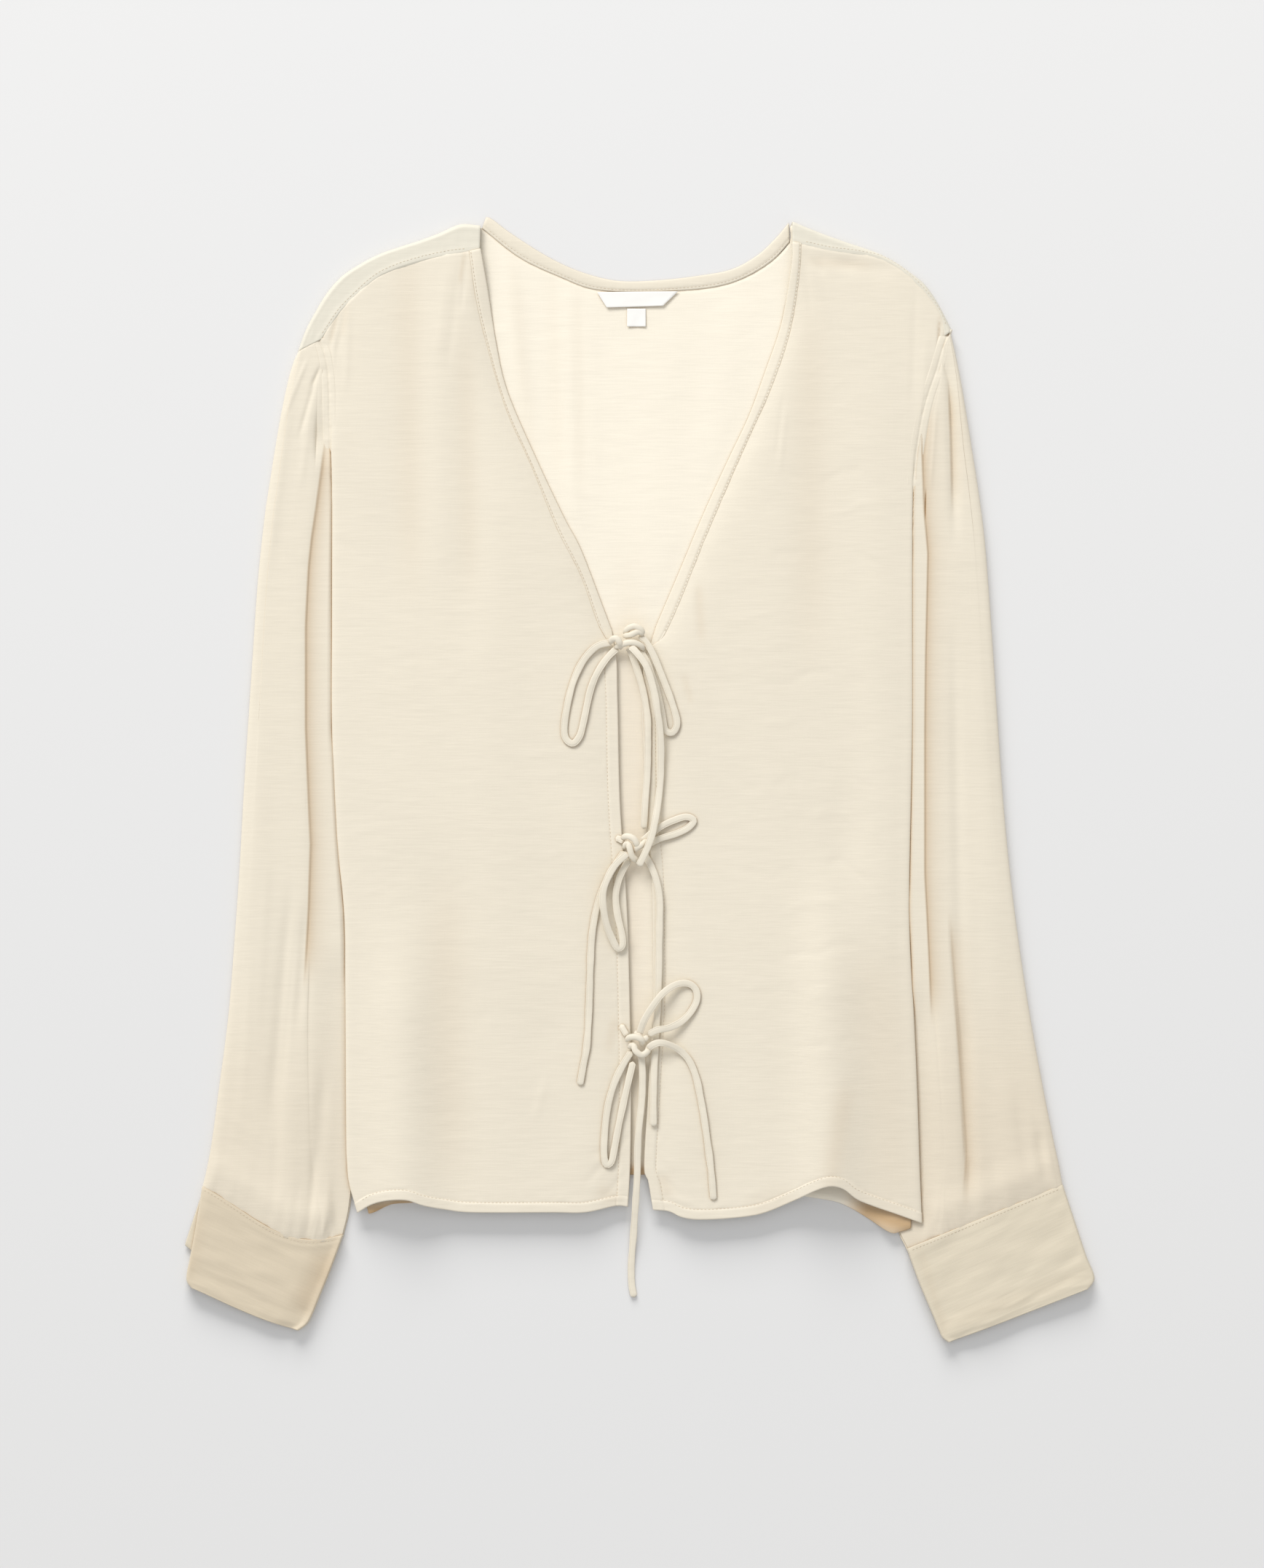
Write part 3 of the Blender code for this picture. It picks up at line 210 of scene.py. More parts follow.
# Long wavy creases that cross the fronts: points x, y, then half width and height
CROSS_CREASES = (
    ((78, 196), (104, 192), (130, 196), (158, 190), 1.5, -0.34),
    ((96, 178), (124, 172), (150, 177), (168, 170), 1.6, 0.30),
    ((60, 150), (92, 142), (120, 147), (160, 136), 1.7, -0.30),
    ((44, 104), (70, 100), (98, 108), (132, 100), 1.6, 0.26),
    ((40, 66), (76, 60), (110, 70), (150, 58), 1.7, -0.32),
    ((60, 34), (96, 38), (126, 26), (158, 30), 1.5, 0.30),
    ((48, 4), (82, -4), (120, 6), (156, -8), 1.8, -0.34),
    ((74, -26), (108, -18), (138, -30), (164, -44), 1.6, 0.34),
    ((56, -52), (92, -60), (128, -50), (158, -72), 1.8, -0.40),
    ((88, -84), (118, -76), (144, -90), (166, -112), 1.7, 0.38),
    ((60, -104), (98, -112), (132, -104), (160, -130), 1.8, -0.40),
    ((96, -138), (126, -132), (150, -150), (168, -172), 1.6, 0.34),
    ((70, -160), (104, -168), (134, -162), (160, -190), 1.7, -0.32),
    ((40, -124), (66, -132), (92, -128), (110, -136), 1.5, 0.26),
    ((-170, 84), (-130, 78), (-90, 86), (-48, 78), 2, -0.16),
    ((-160, 20), (-118, 26), (-80, 16), (-36, 22), 2, 0.16),
    ((-176, -62), (-132, -70), (-92, -62), (-50, -74), 2, -0.18),
    ((-150, -106), (-112, -98), (-70, -110), (-34, -100), 1.8, 0.20),
    ((-164, -150), (-124, -158), (-86, -148), (-44, -160), 1.9, -0.22),
    ((-140, -196), (-104, -188), (-72, -200), (-40, -190), 1.8, 0.20),
)

# Where the fronts lie in soft warm shade: start x, y, end x, y, half width, strength
FRONT_SHADES = (
    (-147, 330, -145, 140, 9, 0.08), (-110, 270, -108, 135, 7, 0.07),
    (-123, -80, -120, -240, 14, 0.08), (108, 290, 108, 100, 12, 0.07),
    (108, 328, 143, 326, 3.5, 0.10), (129, -197, 120, -256, 7, 0.12),
    (150, -120, 162, -275, 22, 0.09), (-111, 334, -113.6, 316, 1.4, 0.16),
    (-108.5, 333, -104, 300, 2.2, 0.06), (-191.8, 296, -195.2, 279, 1.6, 0.14),
    (-185, 300, -188, 282, 2.2, 0.08), (189, 290, 188.3, 266, 0.8, 0.36),
    (-26, -258, -14, -266, 5, 0.10), (14, -250, 18, -262, 4, 0.10),
    (37, 122, 39, 90, 2.6, 0.12), (28, 66, 32, 50, 2.2, 0.10),
    (-16, -150, -20, -170, 3, 0.10), (96, -262, 70, -270, 8, 0.06),
)

# Where the back lies in warm shade: in the gap between the fronts and at the hem's corners
BACK_SHADES = (
    (-7, 92, -5, -250, 11, 0.15), (-80, 325, -68, 190, 5, 0.05),
    (-56, 316, -52, 200, 5, 0.04), (-40, 306, -38, 190, 4, 0.04),
    (-182, -275, -150, -270, 7, 0.90), (136, -270, 180, -284, 12, 0.85),
    (-11, -247.5, 9, -247.5, 4, 0.85), (-150, -268, -110, -264, 4, 0.80),
)

# Where the cuffs lie in warm shade
CUFF_SHADES = (
    (-198, -302, -213, -334, 8, 0.16), (-190, -292, -200, -318, 5, 0.08),
    (-280, -275, -285, -312, 5, 0.08), (178, -300, 192, -346, 2.6, 0.07),
    (190, -346, 280, -312, 6, 0.05),
)

# Folds of the back where it shows inside the V: start x, y, end x, y, half width, height
BACK_FOLDS = (
    (-84, 330, -70, 190, 6, 0.9), (-66, 320, -58, 170, 5, -0.10),
    (-44, 306, -42, 120, 6, 0.8), (-32, 300, -30, 190, 4, 0.5),
    (18, 290, 10, 120, 16, 0.5), (60, 300, 44, 200, 12, 0.5),
)

# Folds of the sleeves: start x, y, end x, y, half width, height
SLEEVE_FOLDS = (
    (-224, 245, -236, 140, 5, 0.8),
    (-222, -85, -232, -205, 4, -1.3),
    (-212, -90, -216, -150, 4, -1.2),
    (-240, 20, -246, -180, 9, 0.7),
    (-200, -190, -206, -260, 5, -1.2),
    (-220, -190, -224, -280, 8, 1),
    (196, 255, 199, 165, 3.5, -1.6),
    (199, 60, 204, -190, 4, -0.9),
    (206, -150, 208, -262, 4, -1.7),
    (215, 60, 226, -170, 9, 0.7),
    (252, -225, 256, -250, 3, -1),
    (230, -190, 236, -255, 8, 0.9),
)

# Small creases of the sleeves: start x, y, end x, y, half width, height
SLEEVE_CREASES = (
    (-201.5, 262, -207.5, 250, 1.2, -0.55), (-204.5, 256, -214, 222, 1.6, -0.60),
    (-198, 256, -200.5, 238, 1.1, -0.45), (-212, 262, -226, 228, 1.6, 0.50),
    (-216, 262, -230, 214, 1.8, 0.45), (-208, 236, -214, 190, 2.4, 0.35),
    (-218, -100, -226, -190, 1.8, -0.40), (-236, -60, -241, -150, 3, 0.30),
    (-246, -120, -252, -210, 3, 0.28), (-228, -200, -231, -262, 3, -0.40),
    (-206, -240, -210, -292, 2.4, -0.55), (-196, -250, -200, -290, 2, 0.40),
    (-214, -262, -217, -290, 1.6, 0.40), (-224, -262, -226, -286, 1.6, -0.35),
    (-264, -210, -240, -226, 1.6, 0.24), (-262, -226, -236, -240, 1.6, -0.24),
    (190.5, 268, 194, 256, 1, -0.55), (194.5, 258, 197.5, 224, 1.4, -0.50),
    (202, 270, 208, 220, 1.8, 0.35), (183, 240, 180, 205, 1.2, -0.40),
    (187, 232, 184, 190, 1.4, 0.35), (198, -110, 204, -180, 1.6, -0.35),
    (238, -205, 243, -246, 1.8, -0.35), (246, -210, 250, -246, 1.6, 0.30),
    (259, -222, 262, -246, 1.4, -0.40), (214, -236, 216, -272, 2.4, 0.45),
    (222, -240, 224, -270, 2, -0.30), (190, -252, 186, -282, 2, 0.30),
)

# Sharp lengthwise folds of the sleeves: points x, y down the line, then the drop to its
# right, how far the drop spreads, and the rise to its left; the first of each sleeve is the
# valley beside the body
LEFT_SLEEVE_LINES = (
    ((-196.4, 217.5), (-198.7, 217), (-201.5, 194), (-204.7, 171), (-207.4, 153),
     (-209.3, 134.5), (-211.1, 98), (-211.1, 33), (-209.3, -12.5), (-208, -40),
     (-209.3, -81.5), (-212, -127.5), 1.5, 5, 0.5),
)
RIGHT_SLEEVE_LINES = (
    ((179.8, 242.5), (178.5, 208), (179.9, 171), (182.2, 143.5), (180.8, 79),
     (180.3, 33), (180.3, -58.5), (182.6, -104.5), (184.5, -150), 1.5, 4.5, 0.7),
    ((195, 252), (196.4, 217.5), (197.3, 171), 0.9, 4, 0.3),
    ((195.5, -86.5), (201, -160), (206.1, -242.5), (205.2, -265.5), 1, 4, 0.4),
)

# Stations of the sleeves from the sleeve head to the cuff seam: outer x, y, inner x, y,
# valley (distance of the lengthwise valley from the inner edge), depth of the valley from
# 0 to 1, thinness of the inner edge from 0 to 1 (1 where it lies under the body), tuck
# (width under the body), bow of the section, drop of the lower layer at the armhole
LEFT_SLEEVE = (
    (-216.4, 270, -203.6, 276.6, 2, 0, 0, 0, 0, 27),
    (-218.9, 264.4, -200.4, 267.2, 3, 0.1, 0, 0, 0, 21),
    (-222, 254, -198.2, 256, 5, 0.3, 0, 0, 0, 14),
    (-226.3, 234, -197.1, 236, 7, 0.6, 0.2, 0, 0, 0),
    (-230, 213, -196.8, 214, 8, 0.9, 1, 0, 0, 0),
    (-234, 188, -191, 188, 14.5, 1, 1, 5, 0, 0),
    (-237.5, 164, -190, 164, 18, 1, 1, 5, 0, 0),
    (-241.5, 125, -190, 125, 20, 1, 1, 5, 0, 0),
    (-244.5, 82, -190, 82, 21.5, 1, 1, 5, 0, 0),
    (-247.5, 37, -190, 37, 21, 1, 1, 5, 0, 0),
    (-250.5, -10, -188.6, -10, 22, 1, 1, 5, 0, 0),
    (-253, -55, -185.6, -55, 24, 0.9, 1, 5, 0, 0),
    (-256, -98, -182.3, -102, 26, 0.65, 1, 5, 0, 0),
    (-260, -148, -181.4, -154, 28, 0.3, 1, 5, 1, 0),
    (-265.8, -193, -181, -202, 28, 0.15, 1, 5, 3, 0),
    (-270.5, -228, -181.5, -240, 26, 0.1, 1, 5, 7, 0),
    (-274, -247, -184.5, -270, 18, 0.1, 1, 3, 11, 0),
    (-276.2, -256, -188, -286.5, 14, 0.1, 0.8, 1, 12.5, 0),
)
RIGHT_SLEEVE = (
    (196.2, 282.5, 191.2, 273, 2, 0, 0, 0, 0, 0),
    (198.8, 272, 189.2, 265.6, 2.5, 0.1, 0, 0, 0, 0),
    (203, 251, 185.2, 250, 4, 0.3, 0, 0, 0, 0),
    (206.5, 230, 179.9, 230, 5, 0.6, 0, 0, 0, 0),
    (210, 208, 175.8, 209, 5.5, 0.9, 0.2, 0, 0, 0),
    (214, 182, 173.2, 186, 8, 1, 1, 0, 0, 0),
    (217.5, 155, 167.6, 156, 13, 1, 1, 5, 0, 0),
    (220, 125, 167.5, 125, 13.5, 1, 1, 5, 0, 0),
    (223, 83, 167.5, 83, 13.5, 1, 1, 5, 0, 0),
    (226, 37, 167.5, 37, 13.5, 1, 1, 5, 0, 0),
    (229.5, -13, 167, -13, 14, 1, 1, 5, 0, 0),
    (234, -60, 166, -60, 15, 0.9, 1, 5, 0, 0),
    (240, -107, 166.5, -107, 16, 0.7, 1, 5, 0, 0),
    (247, -152, 168.6, -152, 18, 0.35, 1, 5, 0, 0),
    (255, -196, 170.3, -200, 20, 0.15, 1, 5.5, 0, 0),
    (261, -226, 167, -240, 26, 0.1, 1, 11, 0, 0),
    (264.5, -242, 162.5, -270, 30, 0.1, 1, 17, 0, 0),
    (265.8, -249.5, 164.6, -284.5, 28, 0.1, 1, 16, 0, 0),
    (266.8, -255, 169.4, -295.4, 22, 0.1, 0.9, 6, 0, 0),
)

# Stations of the cuffs from the seam to the free edge: outer x, y, inner x, y, bow
LEFT_CUFF = (
    (-276.5, -256.8, -188, -287.4, 12.5),
    (-280.5, -282, -195.5, -308, 8),
    (-284.5, -303, -203.2, -327, 5),
    (-286.2, -311.5, -207, -336.5, 3.6),
    (-286.2, -316.5, -210.6, -343.2, 2.8),
    (-283.6, -320.4, -216, -347.4, 1.8),
)
RIGHT_CUFF = (
    (267, -255.6, 169.2, -296.1, 0),
    (275, -280, 177, -317.5, 0),
    (282, -301, 185, -336.5, 0),
    (286.4, -311.5, 189.6, -347.6, 0),
    (286.6, -316.5, 191.6, -352, 0),
    (283, -321.2, 195, -354.8, 0.4),
)

# Neck label and size tag: corner x, y
FLAP_CORNERS = ((-287.6, -293.6), (-279, -301), (-273, -264.5), (-277.6, -263.4))
LABEL_CORNERS = ((-21, 299.5), (14.5, 300.5), (24, 309.6), (-27, 309))
TAG_CORNERS = ((-8, 287.5), (3.5, 287.5), (3.5, 298.6), (-8, 298.6))

# Ties: the centre line's route as x, y, z
TIES = {
    "tie_top_loop_left": (
        (-17.7, 87.6, 7.6), (-27, 85, 7.9), (-35, 77, 8), (-41, 65.5, 8.1),
        (-45, 52, 8.1), (-47.7, 35.5, 8.1), (-47, 27, 8.1), (-42.5, 23.5, 8.1),
        (-38.2, 28, 8.1), (-35.7, 37, 8.1), (-31.5, 56.5, 8), (-27, 68, 7.8),
        (-20.8, 77.4, 7.4), (-14, 84.2, 7.1),
    ),
    "tie_top_loop_right": (
        (-0.4, 91.6, 8), (4.4, 86.6, 8.2), (8.6, 79, 8.3), (14.5, 64.5, 8.3),
        (20.5, 48.5, 8.3), (23.4, 36.5, 8.3), (20.6, 30.5, 8.3), (16, 32, 8.3),
        (14.2, 40, 8.3), (12, 52, 8.3), (8.4, 64, 8.2), (4, 75.5, 7.9),
        (-2.2, 85.4, 7),
    ),
    "tie_top_tail_front": (
        (-6.4, 85.2, 10.6), (-1.8, 80.4, 11.9), (4, 72, 12.6), (8.5, 58, 12.7),
        (11, 43.5, 12.6), (13, 27.5, 11), (13, 3, 8.6), (11.5, -13, 8.8),
        (9.4, -26, 11.7), (7, -36, 13), (3, -46, 13), (-1, -54, 12.6),
    ),
    "tie_top_tail_back": (
        (-7.4, 84.8, 5.4), (-3.4, 75, 6.2), (1, 61, 6.6), (4.2, 45, 6.9),
        (5, 30, 7.2), (4.6, 5, 7.2), (3.4, -12.5, 7.2), (2.4, -30.5, 7.2),
    ),
    "tie_middle_loop_right": (
        (1, -38.6, 8.6), (8, -32.6, 8.2), (15, -28, 8), (21.5, -25, 8.1),
        (29, -22.8, 8.1), (34, -25, 8.1), (30.5, -29.6, 8.1), (24, -33, 8.1),
        (18, -35, 8), (11.5, -37, 7.8), (4.6, -40.6, 7.2),
    ),
    "tie_middle_loop_left": (
        (-7.2, -45.4, 10.8), (-15.5, -53, 11.9), (-20.5, -61.5, 12.6), (-23.3, -71, 12.7),
        (-23, -81, 12.4), (-20.8, -91.5, 10.8), (-17.4, -100, 9.2), (-14, -106, 8.4),
        (-11, -103.5, 8.2), (-11.6, -96, 8.2), (-14.2, -85, 8.2), (-15.4, -73, 8.2),
        (-13.4, -62.5, 8.1), (-10, -55, 7.6), (-6.6, -49.2, 6.8),
    ),
    "tie_middle_tail_left": (
        (-9.8, -44.6, 6), (-16, -54, 6.8), (-22, -65, 7.9), (-26.5, -77, 8.1),
        (-29.5, -91.5, 8.1), (-31, -107.5, 8.1), (-32, -139.5, 8.1), (-33.5, -166.5, 8.1),
        (-36, -181, 8.1), (-38, -192.5, 8.1),
    ),
    "tie_middle_tail_right": (
        (2.6, -46.4, 7), (7, -54, 7.6), (10.5, -63.5, 8), (12.5, -77, 8.1),
        (12.2, -95.5, 8.1), (11.7, -127.5, 8.1), (10.7, -150.5, 7.7), (9.6, -169, 7.6),
        (8.7, -192, 7.8), (8.4, -218.5, 7.8),
    ),
    "tie_bottom_loop_right": (
        (-0.6, -160.6, 9.4), (2.4, -151.6, 11.6), (7.5, -143, 12.6), (14.5, -134, 12.2),
        (22.5, -128.8, 10), (30, -128, 8.6), (35, -131.5, 8.2), (36, -138, 8.2),
        (32.5, -145.5, 8.4), (26.5, -151.8, 9.4), (18.5, -155.8, 11.6), (11, -157.2, 12.6),
        (5, -160.2, 11.2),
    ),
    "tie_bottom_tail_right": (
        (4.6, -169.6, 10.6), (8, -166.6, 12.4), (13, -165.2, 12.6), (19.5, -167, 11),
        (26, -171, 9), (31.5, -177.5, 8.2), (35.5, -187.5, 8.1), (38, -199, 8.1),
        (40.5, -213, 8), (43, -231, 7.9), (45, -247, 7.9), (46.5, -265, 7.9),
    ),
    "tie_bottom_loop_left": (
        (-5.4, -171, 7.6), (-11, -180, 7.8), (-16, -190.5, 7.9), (-20, -204, 7.9),
        (-22, -219, 7.8), (-22.8, -233.5, 7.7), (-21.6, -242, 7.6), (-18.2, -241, 7.6),
        (-16.2, -232.5, 7.6), (-13.4, -217.5, 7.6), (-10.2, -202.5, 7.4), (-7.2, -189.5, 7.2),
        (-4.4, -177.5, 7),
    ),
    "tie_bottom_tail_centre": (
        (0.7, -171.8, 7.2), (1.6, -185, 7.2), (1.2, -201, 7), (-0.6, -219, 6.8),
        (-1.4, -232, 6.6), (-1.8, -250, 6.4), (-3, -270, 5.6), (-4.2, -288, 3.4),
        (-5.5, -306, 2.3), (-5.2, -319, 2.1), (-3.6, -327, 2.1),
    ),
}
TIE_ROOTS = {
    "tie_root_middle_left": ((-15.5, -36, 5.9), (-12.8, -36.9, 6.6), (-9.9, -38.6, 7.4)),
    "tie_root_bottom_left": ((-12.2, -154, 5.9), (-10.4, -157.4, 6.6), (-7.8, -161.6, 7.3)),
}

# Turns of tie that make up each knot: route x, y, z of each turn
KNOT_TURNS = {
    "top": (
        ((-19, 86.6, 6.2), (-17.2, 89.4, 9), (-14.6, 89.6, 10), (-12.6, 86.6, 9.6),
         (-12.4, 83.2, 6.6)),
        ((-16, 84, 6.2), (-11, 86.2, 8.8), (-5, 87.2, 9.6), (0, 85.4, 8.6),
         (2.6, 82.4, 6.4)),
        ((-10, 93, 6.2), (-7.4, 96, 8.2), (-3.4, 97.4, 9), (0.6, 95.4, 8.8),
         (1.6, 91.6, 7.2)),
        ((-10.6, 91.4, 6.6), (-6, 92, 8.6), (-1, 94.2, 8.8), (2.2, 92, 7.6)),
    ),
    "middle": (
        ((-11.6, -36.4, 6.2), (-8.2, -35, 9), (-4.2, -36.4, 10.2), (-1.8, -40.4, 9.8),
         (-2.2, -43.6, 7)),
        ((-10.6, -42.6, 6.4), (-7.8, -39.6, 9), (-6.4, -42.8, 10), (-5, -47.6, 9.4),
         (-1.2, -51.4, 7.4)),
        ((-4.6, -45, 6.8), (-2, -42.4, 9.2), (1.6, -40.2, 9.4), (4.8, -37.4, 7.6)),
    ),
    "bottom": (
        ((-8.6, -164.6, 6.4), (-6.4, -162, 9.2), (-2, -161.8, 10.2), (1.4, -164, 9.8),
         (0.8, -167.4, 7)),
        ((-7.4, -168.6, 6.4), (-4.4, -167, 9.2), (-2.6, -170.6, 10.2), (1.2, -173, 10),
         (4.8, -170.6, 9.4), (5.2, -167, 7.2)),
        ((-3, -158.4, 6.4), (-1.2, -160.6, 8.4), (1.6, -163.4, 9), (5.4, -161.6, 8.6)),
    ),
}


def ease(low, high, value):
    """Ease from 0 at low to 1 at high, for numbers or arrays."""
    t = np.clip((value - low) / (high - low), 0.0, 1.0)
    return t * t * (3.0 - 2.0 * t)


def catmull_rom(points, steps, closed=False):
    """Smooth curve through the second axis of a grid of points."""
    if closed:
        a = np.roll(points, 1, axis=1)
        b = points
        c = np.roll(points, -1, axis=1)
        d = np.roll(points, -2, axis=1)
    else:
        first = 2.0 * points[:, :1] - points[:, 1:2]
        last = 2.0 * points[:, -1:] - points[:, -2:-1]
        padded = np.concatenate([first, points, last], axis=1)
        a = padded[:, :-3]
        b = padded[:, 1:-2]
        c = padded[:, 2:-1]
        d = padded[:, 3:]
    stages = []
    for step in range(steps):
        t = step / steps
        curve = 2.0 * b + (c - a) * t
        curve = curve + (2.0 * a - 5.0 * b + 4.0 * c - d) * t * t
        curve = curve + (3.0 * b - a - 3.0 * c + d) * t ** 3
        stages.append(curve * 0.5)
    smooth = np.stack(stages, axis=2)
    smooth = smooth.reshape(points.shape[0], -1, points.shape[2])
    if not closed:
        smooth = np.concatenate([smooth, points[:, -1:]], axis=1)
    return smooth


def smooth_grid(points, row_steps, column_steps, closed=False):
    """A finer grid of points, smooth along its rows and its columns."""
    finer = catmull_rom(np.asarray(points, float), column_steps, closed)
    finer = catmull_rom(finer.swapaxes(0, 1), row_steps)
    return finer.swapaxes(0, 1)


class Line:
    """A smooth line through measured points, read by its share of length."""

    STEPS = 8

    def __init__(self, points):
        given = np.array(points, float)[None]
        self.points = catmull_rom(given, self.STEPS)[0]
        runs = np.linalg.norm(np.diff(self.points, axis=0), axis=1)
        self.lengths = np.concatenate([[0.0], np.cumsum(runs)])
        self.length = self.lengths[-1]

    def at(self, share):
        """Points at shares of the line's length."""
        target = np.clip(share, 0.0, 1.0) * self.length
        columns = [np.interp(target, self.lengths, column) for column in self.points.T]
        return np.stack(columns, axis=-1)

    def share_of(self, index):
        """Share of the length at one of the given points."""
        return self.lengths[index * self.STEPS] / self.length

    def distance(self, x, y):
        """Distances in plan from points to the line."""
        best = np.full(np.shape(x), 1.0e9)
        for start, end in zip(self.points, self.points[1:]):
            run = end - start
            t = ((x - start[0]) * run[0] + (y - start[1]) * run[1]) / (run @ run)
            t = np.clip(t, 0.0, 1.0)
            gap = np.hypot(x - start[0] - t * run[0], y - start[1] - t * run[1])
            best = np.minimum(best, gap)
        return best


def read_table(table, key, column):
    """Eased values of a column at keys, with rows in falling order of their first column."""
    key = np.asarray(key, float)
    value = np.full(key.shape, table[-1][column])
    for upper, lower in reversed(list(zip(table, table[1:]))):
        t = ease(0.0, 1.0, (upper[0] - key) / (upper[0] - lower[0]))
        here = upper[column] + (lower[column] - upper[column]) * t
        value = np.where(key >= lower[0], here, value)
    return np.where(key >= table[0][0], table[0][column], value)


def fold_height(folds, x, y):
    """Sum of the soft folds at points."""
    total = np.zeros(np.shape(x))
    for x0, y0, x1, y1, half_width, height in folds:
        length = math.hypot(x1 - x0, y1 - y0)
        ux = (x1 - x0) / length
        uy = (y1 - y0) / length
        along = (x - x0) * ux + (y - y0) * uy
        across = (x - x0) * uy - (y - y0) * ux
        fade = ease(-0.25 * length, 0.2 * length, along)
        fade = fade * ease(1.25 * length, 0.8 * length, along)
        total += height * fade * np.exp(-(across / half_width) ** 2)
    return total


def crease_height(creases, x, y):
    """Sum of the wavy creases that cross the cloth, each faded towards its ends."""
    total = np.zeros(np.shape(x))
    sway = 5.0 * soft_noise(x / 26.0, y / 40.0, 7) + 1.6 * soft_noise(x / 9.0, y / 30.0, 8)
    broken = ease(-0.35, 0.35, soft_noise(x / 17.0, y / 24.0, 9))
    for *route, half_width, height in creases:
        line = Line(route)
        low = line.points[:, 0].min()
        high = line.points[:, 0].max()
        near = ease(low - 4.0, low + 18.0, x) * ease(high + 4.0, high - 18.0, x)
        gap = line.distance(x, y + sway)
        profile = np.exp(-(gap / half_width) ** 2) + 0.3 * np.exp(-(gap / 5.0) ** 2)
        total += 0.6 * height * near * broken * profile
    return total


def lattice_angle(i, j, seed):
    """A fixed angle for each corner of the noise lattice."""
    mixed = np.sin(i * 127.1 + j * 311.7 + seed * 74.7) * 43758.5453
    return (mixed - np.floor(mixed)) * 2.0 * math.pi


def soft_noise(x, y, seed):
    """Smooth noise, about -1 to 1, that changes over one unit."""
    left = np.floor(x)
    low = np.floor(y)
    fx = x - left
    fy = y - low
    ease_x = fx ** 3 * (fx * (fx * 6.0 - 15.0) + 10.0)
    ease_y = fy ** 3 * (fy * (fy * 6.0 - 15.0) + 10.0)
    total = 0.0
    for dx in (0, 1):
        for dy in (0, 1):
            angle = lattice_angle(left + dx, low + dy, seed)
            value = np.cos(angle) * (fx - dx) + np.sin(angle) * (fy - dy)
            share = (ease_x if dx else 1.0 - ease_x) * (ease_y if dy else 1.0 - ease_y)
            total = total + value * share
    return total * 1.5


def crinkle(x, y, seed):
    """Fine crinkle of crepe cloth: soft sideways ripples broken by sharper lines."""
    sway = 4.0 * soft_noise(x / 55.0, y / 60.0, seed + 5)
    soft = soft_noise(x / 26.0, (y + sway) / 6.0, seed)
    fine = soft_noise(x / 13.0, (y + sway) / 2.8, seed + 2)
    sharp = 1.0 - 2.6 * np.abs(soft_noise(x / 40.0, (y + 2.0 * sway) / 11.0, seed + 1))
    thin = 1.0 - 3.2 * np.abs(soft_noise(x / 26.0, (y + 2.6 * sway) / 6.5, seed + 6))
    patch = ease(-0.3, 0.5, soft_noise(x / 30.0, y / 34.0, seed + 7))
    lines = np.maximum(sharp, 0.0) ** 3 + 0.6 * np.maximum(thin, 0.0) ** 2 * patch
    return 0.55 * soft + 0.25 * fine + 0.7 * lines


def unit(vectors):
    """Vectors scaled to length 1."""
    lengths = np.linalg.norm(vectors, axis=-1, keepdims=True)
    return vectors / np.maximum(lengths, 1.0e-9)


def grid_normals(middle, closed):
    """Direction square to the cloth at each point of its grid."""
    if closed:
        across = np.roll(middle, -1, axis=1) - np.roll(middle, 1, axis=1)
    else:
        across = np.gradient(middle, axis=1)
    normals = unit(np.cross(np.gradient(middle, axis=0), across))
    if closed:
        facing = (normals * (middle - middle.mean(axis=1, keepdims=True))).sum()
    else:
        facing = normals[..., 2].sum()
    turned = facing < 0.0
    return (-normals if turned else normals), turned


def border_loops(rows, columns, closed):
    """Grid places round each open edge, each with the place that lies inside it."""
    if closed:
        top = [((0, c), (1, c)) for c in range(columns)]
        bottom = [((rows - 1, c), (rows - 2, c)) for c in reversed(range(columns))]
        return [top, bottom]
    inside_c = [min(max(c, 1), columns - 2) for c in range(columns)]
    inside_r = [min(max(r, 1), rows - 2) for r in range(rows)]
    last_r = rows - 1
    last_c = columns - 1
    loop = [((0, c), (1, inside_c[c])) for c in range(last_c)]
    loop += [((r, last_c), (inside_r[r], last_c - 1)) for r in range(last_r)]
    loop += [((last_r, c), (last_r - 1, inside_c[c])) for c in range(last_c, 0, -1)]
    loop += [((r, 0), (inside_r[r], 1)) for r in range(last_r, 0, -1)]
    return [loop]


